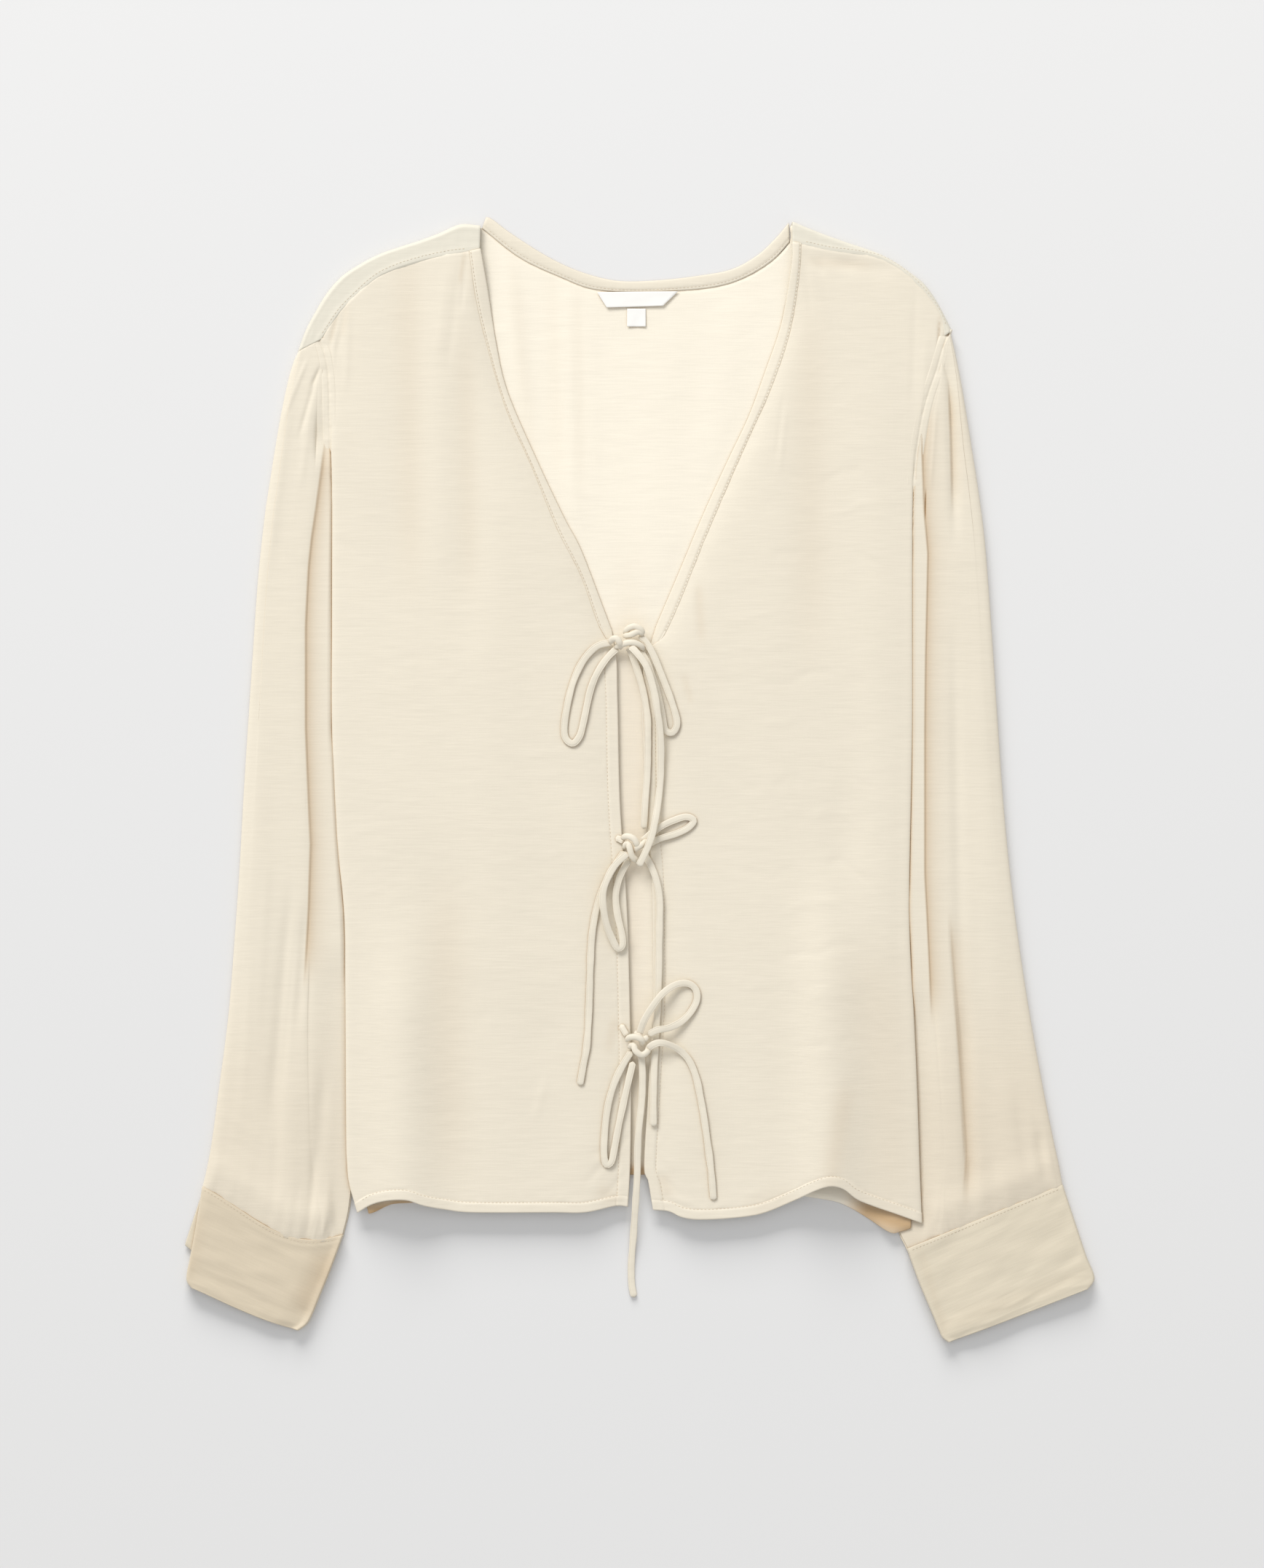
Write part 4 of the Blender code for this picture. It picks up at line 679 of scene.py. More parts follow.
def shell_mesh(middle, wall, closed):
    """Points and faces of a thin shell with rounded edges about a grid of points."""
    rows, columns = middle.shape[:2]
    count = rows * columns
    normals, turned = grid_normals(middle, closed)
    half = np.broadcast_to(np.asarray(wall, float) * 0.5, (rows, columns))
    outer = (middle + normals * half[..., None]).reshape(-1, 3)
    inner = (middle - normals * half[..., None]).reshape(-1, 3)
    index = np.arange(count).reshape(rows, columns)
    following = np.roll(index, -1, axis=1)
    if not closed:
        index = index[:, :-1]
        following = following[:, :-1]
    quads = np.stack([index[:-1], following[:-1], following[1:], index[1:]], axis=-1).reshape(-1, 4)
    outside = quads if turned else quads[:, ::-1]
    faces = [outside, outside[:, ::-1] + count]
    points = [outer, inner]
    base = 2 * count
    for loop in border_loops(rows, columns, closed):
        rim = []
        ends = []
        for (r, c), (inside_r, inside_c) in loop:
            outward = unit(middle[r, c] - middle[inside_r, inside_c])
            rim.append(middle[r, c] + outward * half[r, c])
            ends.append(r * columns + c)
        ends = np.array(ends)
        after = np.roll(ends, -1)
        edge = base + np.arange(len(ends))
        edge_after = np.roll(edge, -1)
        bands = [
            np.stack([ends, after, edge_after, edge], axis=-1),
            np.stack([edge, edge_after, after + count, ends + count], axis=-1),
        ]
        for band in bands:
            faces.append(band[:, ::-1] if turned else band)
        points.append(np.array(rim))
        base += len(ends)
    return np.concatenate(points), np.concatenate(faces)


def mesh_object(name, points, faces, material):
    """A smooth-shaded mesh object from points in millimetres."""
    mesh = bpy.data.meshes.new(name)
    mesh.from_pydata((np.asarray(points) * MM).tolist(), [], [list(face) for face in faces])
    mesh.polygons.foreach_set("use_smooth", [True] * len(mesh.polygons))
    mesh.materials.append(material)
    mesh.update()
    item = bpy.data.objects.new(name, mesh)
    bpy.context.scene.collection.objects.link(item)
    return item


def paint_shade(item, shade, closed):
    """Store how much each place of a shell lies in warm shade, from 0 to 1."""
    rows, columns = shade.shape
    flat = np.clip(shade, 0.0, 1.0).reshape(-1)
    values = [flat, flat]
    for loop in border_loops(rows, columns, closed):
        values.append(np.array([flat[r * columns + c] for (r, c), _ in loop]))
    layer = item.data.attributes.new("fold_shade", "FLOAT", "POINT")
    layer.data.foreach_set("value", np.concatenate(values))


def stand_in(item, nodes):
    """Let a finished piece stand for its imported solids."""
    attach(item, "root")
    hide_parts(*nodes)


def cloth_object(name, middle, wall, material, nodes, closed=False, shade=None):
    """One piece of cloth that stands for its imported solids."""
    points, faces = shell_mesh(middle, wall, closed)
    item = mesh_object(name, points, faces.tolist(), material)
    if shade is not None:
        paint_shade(item, shade, closed)
    stand_in(item, nodes)
    return item


V_EDGE_DROP = 2.0
V_EDGE_SPREAD = 8.0


class Front:
    """Outline and height of one front panel."""

    def __init__(self, side, seam, v_edge, v_stitch, centre, hem, turn):
        self.side = Line(side)
        self.seam = Line((v_stitch[0],) + tuple(seam[1:]))
        self.v_edge = Line(v_edge)
        self.centre = Line(centre)
        self.inner = Line(tuple(v_stitch) + tuple(centre))
        self.stitched_share = self.inner.share_of(len(v_stitch) - 1)
        self.free_edge = Line(tuple(v_edge) + tuple(centre))
        self.hem = Line(hem)
        self.turn = turn

    def height(self, x, y):
        """Height of the middle of the cloth, away from the side."""
        edge = self.free_edge.distance(x, y)
        drop = STITCHED_EDGE_DROP * np.exp(-(edge / STITCHED_EDGE_SPREAD) ** 2)
        drop = drop + V_EDGE_DROP * np.exp(-(self.v_edge.distance(x, y) / V_EDGE_SPREAD) ** 2)
        drop = drop * ease(335.0, 285.0, y)
        return FRONT_MID - drop + fold_height(FRONT_FOLDS, x, y)

    def plan(self, across, down):
        """Points in plan at shares across (from the side) and down (from the seam)."""
        across = np.asarray(across, float)[..., None]
        share = np.broadcast_to(down, across.shape[:-1])[..., None]
        seam = self.seam.at(1.0 - across[..., 0])
        hem = self.hem.at(across[..., 0])
        side = self.side.at(share[..., 0])
        inner = self.inner.at(share[..., 0])
        corner_a = self.side.at(0.0) * (1.0 - across) + self.inner.at(0.0) * across
        corner_b = self.side.at(1.0) * (1.0 - across) + self.inner.at(1.0) * across
        ruled = seam * (1.0 - share) + hem * share + side * (1.0 - across) + inner * across
        return ruled - corner_a * (1.0 - share) - corner_b * share


LEFT = Front(LEFT_SIDE, LEFT_SHOULDER_SEAM, LEFT_V_EDGE, LEFT_V_STITCH, LEFT_CENTRE,
             LEFT_HEM, LEFT_SIDE_TURN)
RIGHT = Front(RIGHT_SIDE, RIGHT_SHOULDER_SEAM, RIGHT_V_EDGE, RIGHT_V_STITCH, RIGHT_CENTRE,
              RIGHT_HEM, RIGHT_SIDE_TURN)

FRONT_V_ROWS = 112
FRONT_CENTRE_ROWS = 150
FRONT_MIDDLE_COLUMNS = 74
FRONT_LENGTH = 585.0
BAND_WIDTH = 7.0
HEM_WIDTH = 6.0
EDGE_DISTANCES = (10.0, 8.8, 8.0, 7.4, 7.0, 6.6, 6.0, 4.6, 3.0, 1.6, 0.7, 0.0)
HEM_DISTANCES = (11.0, 9.0, 7.6, 6.8, 6.3, 6.0, 5.7, 5.2, 4.0, 2.6, 1.4, 0.6, 0.0)


def stitched_relief(distance, width, x, y, seed):
    """Doubled cloth along an edge, the groove of its stitching and the puckers beside it."""
    raised = 0.20 * ease(width + 0.3, width - 0.6, distance)
    groove = -0.18 * np.exp(-((distance - width) / 0.55) ** 2)
    pucker = soft_noise(x / 3.4, y / 3.4, seed) + 0.6 * soft_noise(x / 7.0, y / 7.0, seed + 3)
    pucker = pucker * 0.16 * np.exp(-((distance - width) / 4.5) ** 2)
    return raised + groove + pucker


def front_surface(front, seed, crinkle_depth):
    """Grid of the middle of a front's cloth, and the thickness at each point."""
    v_rows = np.linspace(0.0, front.stitched_share, FRONT_V_ROWS, endpoint=False)
    hem_shares = 1.0 - np.array(HEM_DISTANCES) / FRONT_LENGTH
    centre_rows = np.linspace(front.stitched_share, hem_shares[0], FRONT_CENTRE_ROWS, endpoint=False)
    down = np.concatenate([v_rows, centre_rows, hem_shares])[:, None]
    side = front.side.at(down[:, 0])
    width = np.linalg.norm(side - front.inner.at(down[:, 0]), axis=1)[:, None]
    turn = read_table(front.turn, side[:, 1], 1)[:, None]
    section = np.array(FRONT_SIDE_SECTION)
    inset = section[:, 0] + (section[:, 2] - section[:, 0]) * turn
    level = section[:, 1] + (section[:, 3] - section[:, 1]) * turn
    profile = catmull_rom(np.stack([inset, level], axis=-1), 3)
    inset = profile[..., 0]
    last = width - EDGE_DISTANCES[0]
    share = np.linspace(0.0, 1.0, FRONT_MIDDLE_COLUMNS + 1)[1:-1]
    middle = inset[:, -1:] + (last - inset[:, -1:]) * share
    edge = width - np.array(EDGE_DISTANCES)
    inset = np.concatenate([inset, middle, edge], axis=1)
    level = np.pad(profile[..., 1], ((0, 0), (0, inset.shape[1] - profile.shape[1])),
                   constant_values=FRONT_MID)
    plan = front.plan(inset / width, down)
    x = plan[..., 0]
    y = plan[..., 1]
    rise = ease(2.0, 17.0, inset) * ease(4.2, 4.6, level)
    z = level + (front.height(x, y) - FRONT_MID) * rise
    to_edge = front.centre.distance(x, y)
    to_hem = front.hem.distance(x, y)
    to_binding = front.v_edge.distance(x, y)
    detail = fold_height(FRONT_CREASES, x, y) + crease_height(CROSS_CREASES, x, y)
    strength = 0.55 + 0.45 * soft_noise(x / 90.0, y / 90.0, seed + 9)
    strength = strength * (0.7 + 0.5 * ease(150.0, -60.0, y))
    detail = detail + crinkle_depth * strength * crinkle(x, y, seed)
    detail = detail + stitched_relief(to_edge, BAND_WIDTH, x, y, seed + 20)
    detail = detail + stitched_relief(to_hem, HEM_WIDTH, x, y, seed + 30)
    below_binding = ease(7.5, 9.0, to_binding + 2.0)
    detail = detail + stitched_relief(to_binding, HEM_WIDTH, x, y, seed + 40) * below_binding
    z = z + detail * ease(1.0, 6.0, inset) * ease(4.2, 4.8, level)
    doubled_band = ease(BAND_WIDTH, BAND_WIDTH - 0.8, to_edge)
    doubled = np.maximum(doubled_band, ease(HEM_WIDTH, HEM_WIDTH - 0.8, to_hem))
    shade = fold_height(FRONT_SHADES, x, y)
    return np.stack([x, y, z], axis=-1), 0.45 + 0.45 * doubled, shade


def binding_surface(front, seed):
    """Grid of the middle of the binding along one edge of the V."""
    share = np.linspace(0.0, 1.0, 180)
    edge = front.v_edge.at(share)
    stitch = front.inner.at(share * front.stitched_share)
    stitch = stitch + unit(edge - stitch) * SEAM_GAP
    across = np.array((0.0, 0.08, 0.18, 0.35, 0.5, 0.65, 0.8, 0.86, 0.92, 1.0))
    plan = edge[:, None] * (1.0 - across[None, :, None]) + stitch[:, None] * across[None, :, None]
    x = plan[..., 0]
    y = plan[..., 1]
    dome = 0.45 * (1.0 - np.abs(2.0 * across - 1.0) ** 3)
    groove = -0.28 * np.exp(-((across - 0.86) / 0.05) ** 2)
    pucker = 0.10 * soft_noise(x / 3.0, y / 3.0, seed) * ease(0.2, 0.9, across)
    z = front.height(x, y) + dome + groove + pucker + 0.1
    grid = np.stack([x, y, z], axis=-1)
    tip = np.array((*front.centre.at(0.0).reshape(-1)[:2], FRONT_MID - 2.6))
    narrowed = [grid[-1] * (1.0 - near) + tip * near for near in (0.2, 0.4, 0.6, 0.8, 0.95)]
    return np.concatenate([grid, np.array(narrowed)])


def neck_surface():
    """Grid of the middle of the binding round the back of the neck."""
    share = np.linspace(0.0, 1.0, 170)[:, None]
    upper = Line(NECK_UPPER).at(share[:, 0])[:, None]
    lower = Line(NECK_LOWER).at(share[:, 0])[:, None]
    across = np.array((0.0, 0.08, 0.2, 0.4, 0.6, 0.74, 0.82, 0.9, 1.0))[None, :, None]
    plan = upper * (1.0 - across) + lower * across
    x = plan[..., 0]
    y = plan[..., 1]
    dome = 0.35 * (1.0 - np.abs(2.0 * across[..., 0] - 1.0) ** 3)
    groove = -0.25 * np.exp(-((across[..., 0] - 0.82) / 0.06) ** 2)
    pucker = 0.12 * soft_noise(x / 3.5, y / 3.5, 71) * ease(0.2, 0.8, across[..., 0])
    return np.stack([x, y, 0.75 + dome + groove + pucker], axis=-1)


BACK_ROWS = 16
BACK_SIDE_COLUMNS = (0.0, 2.2, 4.6, 7.6, 11.0, 16.0)
BACK_CUT_INSET = 0.5
BACK_TURNED_INSET = 7.3
SHOULDER_COLUMNS = 12
SHOULDER_ANGLES = (0.0, 30.0, 60.0, 90.0)
SHOULDER_SHARES = (0.1, 0.3, 0.6, 1.0)
NECK_COLUMNS = 14
SEAM_TUCK = ((0.25, 0.0), (0.6, 0.12), (1.2, 0.5), (2.0, 0.8))


def edge_point(edge, share):
    """Point of the back's top edge with its direction into the cloth."""
    run = unit(edge.at(min(1.0, share + 0.01)) - edge.at(max(0.0, share - 0.01)))
    normal = np.array((-run[1], run[0]))
    if normal[1] > 0.0:
        normal = -normal
    return edge.at(share), normal


def side_lift(turn_table, level, inset):
    """Height of the back near a side, where it rises over the tucked sleeve."""
    turn = read_table(turn_table, level, 1)
    tuck = read_table(turn_table, level, 2)
    fall = ease(tuck + 11.5, tuck + 2.5, inset)
    return BACK_MID + (UNDER_SLEEVE_MID - BACK_MID) * turn * fall


def back_row(down, left, right, hem, top_points):
    """Row of the back panel at a share of its length below the top edge."""
    a = left.at(down)
    b = right.at(down)
    turned = BACK_TURNED_INSET - BACK_CUT_INSET
    start_a = BACK_CUT_INSET + turned * float(read_table(LEFT_SIDE_TURN, a[1], 1))
    start_b = BACK_CUT_INSET + turned * float(read_table(RIGHT_SIDE_TURN, b[1], 1))
    sides = len(BACK_SIDE_COLUMNS)
    first_top = top_points[sides - 1][0]
    last_top = top_points[-sides][0]
    inner_a = a[0] + start_a + BACK_SIDE_COLUMNS[-1]
    inner_b = b[0] - start_b - BACK_SIDE_COLUMNS[-1]
    points = []
    for column, top in enumerate(top_points):
        mirrored = len(top_points) - 1 - column
        if column < sides:
            x = a[0] + start_a + BACK_SIDE_COLUMNS[column]
        elif mirrored < sides:
            x = b[0] - start_b - BACK_SIDE_COLUMNS[mirrored]
        else:
            x = inner_a + (inner_b - inner_a) * (top[0] - first_top) / (last_top - first_top)
        share = (x - a[0]) / (b[0] - a[0])
        above = top[1] - top_points[0][1] * (1.0 - share) - top_points[-1][1] * share
        below = hem.at(share)[1] - hem.at(0.0)[1] * (1.0 - share) - hem.at(1.0)[1] * share
        y = a[1] + (b[1] - a[1]) * share + above * (1.0 - down) + below * down
        table = LEFT_SIDE_TURN if share < 0.5 else RIGHT_SIDE_TURN
        lift = float(side_lift(table, y, min(x - a[0], b[0] - x)))
        points.append((x, y, lift))
    return points


def back_surface():
    """Grid of the middle of the back panel below the shoulders."""
    left_edge = Line(LEFT_SHOULDER_EDGE)
    right_edge = Line(RIGHT_SHOULDER_EDGE)
    neck = Line(NECK_LOWER)
    tops = []
    for index in reversed(range(SHOULDER_COLUMNS)):
        outline, normal = edge_point(left_edge, index / (SHOULDER_COLUMNS - 1))
        tops.append(outline + normal * SHOULDER_RADIUS)
    for index in range(NECK_COLUMNS):
        outline, normal = edge_point(neck, index / (NECK_COLUMNS - 1))
        tops.append(outline + normal * SEAM_GAP)
    for index in range(SHOULDER_COLUMNS):
        outline, normal = edge_point(right_edge, index / (SHOULDER_COLUMNS - 1))
        tops.append(outline + normal * SHOULDER_RADIUS)
    left = Line(LEFT_BACK_SIDE)
    right = Line(RIGHT_BACK_SIDE)
    hem = Line(BACK_HEM)
    rows = [[(top[0], top[1], BACK_MID) for top in tops]]
    for row in range(1, BACK_ROWS):
        rows.append(back_row(row / (BACK_ROWS - 1), left, right, hem, tops))
    grid = smooth_grid(rows, 12, 4)
    x = grid[..., 0]
    y = grid[..., 1]
    in_v = ease(-110.0, -80.0, x) * ease(100.0, 75.0, x) * ease(60.0, 110.0, y)
    clear = ease(2.0, 12.0, np.minimum(LEFT.v_edge.distance(x, y), RIGHT.v_edge.distance(x, y)))
    relief = fold_height(BACK_FOLDS, x, y) * in_v * clear + 0.16 * crinkle(x, y, 61)
    flat = ease(BACK_MID + 0.6, BACK_MID + 0.1, grid[..., 2])
    grid[..., 2] += np.maximum(relief, -0.1) * flat * ease(0.0, 8.0, Line(NECK_LOWER).distance(x, y))
    to_hem = hem.distance(x, y)
    grid[..., 2] += np.maximum(stitched_relief(to_hem, HEM_WIDTH, x, y, 66), -0.1) * flat
    shade = fold_height(BACK_SHADES, x, y)
    return grid, 0.45 + 0.35 * ease(HEM_WIDTH, HEM_WIDTH - 0.8, to_hem), shade


def shoulder_surface(edge, seam, seed):
    """Grid of a shoulder from the lower layer round its fold to the forward seam."""
    stations = []
    for index in range(SHOULDER_COLUMNS):
        share = index / (SHOULDER_COLUMNS - 1)
        stations.append((*edge_point(edge, share), seam.at(share)))
    rows = []
    for angle in SHOULDER_ANGLES:
        turn = math.radians(angle)
        inset = SHOULDER_RADIUS * (1.0 - math.sin(turn))
        z = BACK_MID + SHOULDER_RADIUS * (1.0 - math.cos(turn))
        rows.append([(*(outline + normal * inset), z) for outline, normal, _ in stations])
    for share in SHOULDER_SHARES:
        row = []
        for outline, _, end in stations:
            plan = outline + (end - outline) * share
            inset = min(SHOULDER_RADIUS, np.linalg.norm(end - outline) * share)
            lean = 1.0 - inset / SHOULDER_RADIUS
            row.append((*plan, BACK_MID + SHOULDER_RADIUS * (1.0 + math.sqrt(1.0 - lean * lean))))
        rows.append(row)
    grid = smooth_grid(rows, 5, 9)
    x = grid[..., 0]
    y = grid[..., 1]
    to_seam = seam.distance(x, y)
    ridge = 0.22 * ease(3.6, 1.0, to_seam) - 0.12 * ease(0.9, 0.0, to_seam)
    relief = ridge + 0.14 * crinkle(y, x, seed)
    grid[..., 2] += relief * ease(4.0, 5.0, grid[..., 2])
    onward = unit((grid[-1] - grid[-3]) * np.array((1.0, 1.0, 0.0)))
    tucked = [grid[-1] + onward * reach - np.array((0.0, 0.0, sink)) for reach, sink in SEAM_TUCK]
    return np.concatenate([grid, np.array(tucked)])


def sleeve_ring(station):
    """Closed section of a flattened sleeve: x, y, z, distance from the outer fold, width."""
    outer_x, outer_y, inner_x, inner_y, valley, depth, thin, tuck, bow, drop = station
    outer = np.array((outer_x, outer_y))
    inner = np.array((inner_x, inner_y))
    width = np.linalg.norm(inner - outer)
    low = BACK_MID
    inner_top = SLEEVE_MID - 0.5 + (TUCKED_MID - SLEEVE_MID + 0.5) * thin
    half = (inner_top - low) * 0.5
    valley_z = inner_top + (SLEEVE_MID - inner_top) * (1.0 - depth)
    roll = min(12.0, 0.35 * (width - valley))
    rest = width - valley - roll
    outer_half = (SLEEVE_MID - low) * 0.5
    section = [(width - share * width, low) for share in (0.78, 0.5, 0.25)]
    section += [
        (width - half, low),
        (width - 0.3 * half, low + 0.3 * half),
        (width, low + half),
        (width - 0.3 * half, low + 1.7 * half),
        (width - half, inner_top),
    ]
    for share in (0.45, 0.85):
        along = max(half + 0.1, valley * share)
        flat = float(ease(tuck + 1.5, max(tuck + 3.0, valley), along))
        section.append((width - along, inner_top + (valley_z - inner_top) * flat))
    section.append((width - valley, valley_z))
    for share, rise in ((0.10, 0.45), (0.25, 0.8), (0.5, 0.96), (1.0, 1.0)):
        section.append((width - valley - roll * share, valley_z + (SLEEVE_MID - valley_z) * rise))
    for share in (0.2, 0.45, 0.7):
        section.append((rest * (1.0 - share), SLEEVE_MID))
    reach = min(outer_half * 2.6, rest * 0.3)
    section += [
        (reach, SLEEVE_MID - 0.15),
        (reach * 0.45, SLEEVE_MID - 0.5),
        (reach * 0.12, SLEEVE_MID - 1.3),
        (0.0, low + outer_half),
        (reach * 0.1, low + 0.9),
        (reach * 0.4, low),
    ]
    direction = (inner - outer) / width
    ring = []
    for t, z in section:
        share = t / width
        plan = outer + direction * t
        plan[1] -= bow * math.sin(math.pi * share ** 1.35)
        plan[1] -= drop * share * float(ease(low + 2.0 * half, low, z))
        ring.append((plan[0], plan[1], z, t, width))
    return ring


def across_line(points, x, y):
    """Distance to the right of a line that runs down the cloth, and how near its run a place is."""
    levels = np.array([point[1] for point in points])[::-1]
    places = np.array([point[0] for point in points])[::-1]
    near = ease(levels[0] - 8.0, levels[0] + 26.0, y) * ease(levels[-1] + 6.0, levels[-1] - 22.0, y)
    return x - np.interp(y, levels, places), near


# Middle of a sleeve's cloth in the fold beside the body: the strip that shows at the right
# body edge, then foot and rise of the valley, and the roll that stands over the left one
STRIP_MID = 4.7
RIGHT_VALLEY_FOOT = 4.0
RIGHT_VALLEY_RISE = 1.3
LEFT_VALLEY_FOOT = 3.8
LEFT_VALLEY_RISE = 1.0
LEFT_ROLL_DROP = 0.9

# Strength of the painted warm shade, from 0 to 1
VALLEY_SHADE = 0.36
BODY_EDGE_SHADE = 0.30
LOWER_LEFT_SLEEVE_SHADE = 0.08
LOWER_RIGHT_SLEEVE_SHADE = 0.13
LEFT_CUFF_SHADE = 0.16


def beside_body(grid, side_line, lines, outward):
    """Height of the sleeve between its outer roll, its valley and the edge of the body."""
    x = grid[..., 0]
    y = grid[..., 1]
    z = grid[..., 2]
    from_body, _ = across_line(side_line, x, y)
    right, near = across_line(lines[0][:-3], x, y)
    if outward > 0.0:
        strip = STRIP_MID * ease(-0.8, 0.2, from_body) + TUCKED_MID * ease(0.2, -0.8, from_body)
        climb = 1.0 - np.exp(-np.maximum(right, 0.0) / 5.0)
        valley = RIGHT_VALLEY_FOOT + RIGHT_VALLEY_RISE * climb
        form = strip * ease(0.5, -0.7, right) + valley * ease(-0.7, 0.5, right)
        reach = ease(17.0, 11.0, right)
    else:
        gap = np.maximum(right - from_body, 1.0)
        slope = LEFT_VALLEY_FOOT + LEFT_VALLEY_RISE * np.clip(right / gap, 0.0, 1.0) ** 1.5
        slope = slope * ease(0.8, -0.2, from_body) + TUCKED_MID * ease(-0.2, 0.8, from_body)
        roll = SLEEVE_MID - LEFT_ROLL_DROP * np.exp(np.minimum(right, 0.0) / 2.4)
        form = slope * ease(-0.5, 0.7, right) + roll * ease(0.7, -0.5, right)
        reach = ease(-14.0, -8.0, right)
    on_top = ease(1.2, 1.7, z)
    return z + (form - z) * near * reach * on_top


def line_shade(lines, x, y):
    """Warm shade in the valleys of the sharp lengthwise folds."""
    total = np.zeros(np.shape(x))
    for *points, drop, spread, _ in lines:
        right, near = across_line(points, x, y)
        fading = ease(-1.4, -0.2, right) * np.exp(-np.maximum(right, 0.0) / spread)
        total += near * VALLEY_SHADE * drop * fading
    return total


def line_relief(lines, x, y):
    """Sharp lengthwise folds: high on the left, dropping to a shadowed valley on the right."""
    total = np.zeros(np.shape(x))
    for *points, drop, spread, rise in lines:
        right, near = across_line(points, x, y)
        valley = -drop * ease(-0.6, 0.8, right) * np.exp(-np.maximum(right, 0.0) / spread)
        ridge = rise * ease(0.6, -0.8, right) * np.exp(np.minimum(right, 0.0) / 5.0)
        total += near * (valley + ridge)
    return total


def sleeve_surface(stations, seed, crinkle_depth):
    """Grid of the middle of a sleeve's cloth, gathered a little at its cuff."""
    grid = smooth_grid([sleeve_ring(station) for station in stations], 12, 6, closed=True)
    x = grid[..., 0]
    y = grid[..., 1]
    along = grid[..., 3]
    width = grid[..., 4]
    top = ease(2.2, 3.6, grid[..., 2])
    hold = ease(0.0, 8.0, along) * ease(0.0, 6.0, width - along)
    is_left = stations is LEFT_SLEEVE
    lines = LEFT_SLEEVE_LINES if is_left else RIGHT_SLEEVE_LINES
    side = LEFT_SIDE if is_left else RIGHT_SIDE
    from_body, beside = across_line(side, x, y)
    lower_shade = LOWER_LEFT_SLEEVE_SHADE if is_left else LOWER_RIGHT_SLEEVE_SHADE
    shade = line_shade(lines, x, y) + BODY_EDGE_SHADE * beside * np.exp(-(from_body / 1.2) ** 2)
    shade = shade + lower_shade * ease(-90.0, -230.0, y)
    shade = shade * ease(1.0, 1.6, grid[..., 2])
    grid[..., 2] = beside_body(grid, side, lines, -1.0 if is_left else 1.0)
    seam = Line([(outer_x, outer_y) for outer_x, outer_y in grid[-1, :, :2][top[-1] > 0.9]])
    to_seam = seam.distance(x, y)
    gather = soft_noise(along / 6.5, to_seam / 60.0, seed + 3) * 0.75 * np.exp(-to_seam / 20.0)
    gather = gather + soft_noise(along / 2.8, to_seam / 25.0, seed + 4) * 0.35 * np.exp(-to_seam / 7.0)
    puff = 1.3 * np.exp(-((to_seam - 14.0) / 9.0) ** 2) - 0.8 * np.exp(-to_seam / 3.0)
    strength = 0.6 + 0.4 * soft_noise(x / 70.0, y / 80.0, seed + 9)
    relief = fold_height(SLEEVE_FOLDS, x, y) + fold_height(SLEEVE_CREASES, x, y)
    relief = relief + crinkle_depth * strength * crinkle(x, y + 0.25 * x, seed) + gather + puff
    relief = relief + line_relief(lines[1:], x, y)
    grid[..., 2] += relief * top * hold
    grid = with_tucked_end(grid[..., :3], 0, 1.6 if is_left else 0.5, HEAD_FLATNESS)
    grid = with_tucked_end(grid, -1, 2.4, CUFF_END_FLATNESS)
    added = len(TUCK_SHARES)
    return grid, np.pad(shade, ((added, added), (0, 0)), mode="edge")


# Rings added where a sleeve runs under its neighbour: share of the reach, then how flat
# each is at the sleeve head and at the cuff
TUCK_SHARES = (0.2, 0.5, 1.0)
HEAD_FLATNESS = (0.99, 0.95, 0.88)
CUFF_END_FLATNESS = (0.93, 0.8, 0.66)


def with_tucked_end(grid, end, reach, flatness):
    """A tube's grid carried on under its neighbour, flatter, at its first or last ring."""
    ring = grid[end]
    inside = grid[3 if end == 0 else -4]
    onward = unit((ring - inside) * np.array((1.0, 1.0, 0.0)))
    middle = np.array((0.0, 0.0, 0.5 * (ring[:, 2].min() + ring[:, 2].max())))
    rings = []
    for share, flat in zip(TUCK_SHARES, flatness):
        moved = ring + onward * reach * share
        rings.append(middle + (moved - middle) * np.array((1.0, 1.0, flat)))
    if end == 0:
        return np.concatenate([np.array(rings[::-1]), grid])
    return np.concatenate([grid, np.array(rings)])


# Seams of the armholes in plan, from the shoulder down to where the sleeve leaves the body
LEFT_ARMHOLE = (
    (-203.4, 279.6), (-200.2, 272.0), (-197.8, 262.0), (-196.6, 248.0), (-196.4, 232.0),
    (-196.2, 216.0), (-196.2, 208.0),
)
RIGHT_ARMHOLE = (
    (195.6, 285.0), (190.8, 272.0), (187.4, 260.0), (181.6, 243.0), (177.4, 226.0),
    (174.4, 206.0), (172.9, 190.0), (172.6, 176.0),
)


def surface_of(item):
    """Ray-castable surface of a finished piece."""
    mesh = item.data
    return BVHTree.FromPolygons([v.co for v in mesh.vertices], [p.vertices for p in mesh.polygons])


def height_on(surface, x, y, otherwise):
    """Height in millimetres of a piece below a point in plan."""
    hit = surface.ray_cast((x * MM, y * MM, 0.05), (0.0, 0.0, -1.0))
    return otherwise if hit[0] is None else hit[0].z / MM


ARMHOLE_ROWS = 70
ARMHOLE_STEPS = 25
ALLOWANCE_DROP = 0.12
ALLOWANCE_TUCK = 0.75
ALLOWANCE_END_DROP = 1.4
PUCKER_HEIGHT = 0.16


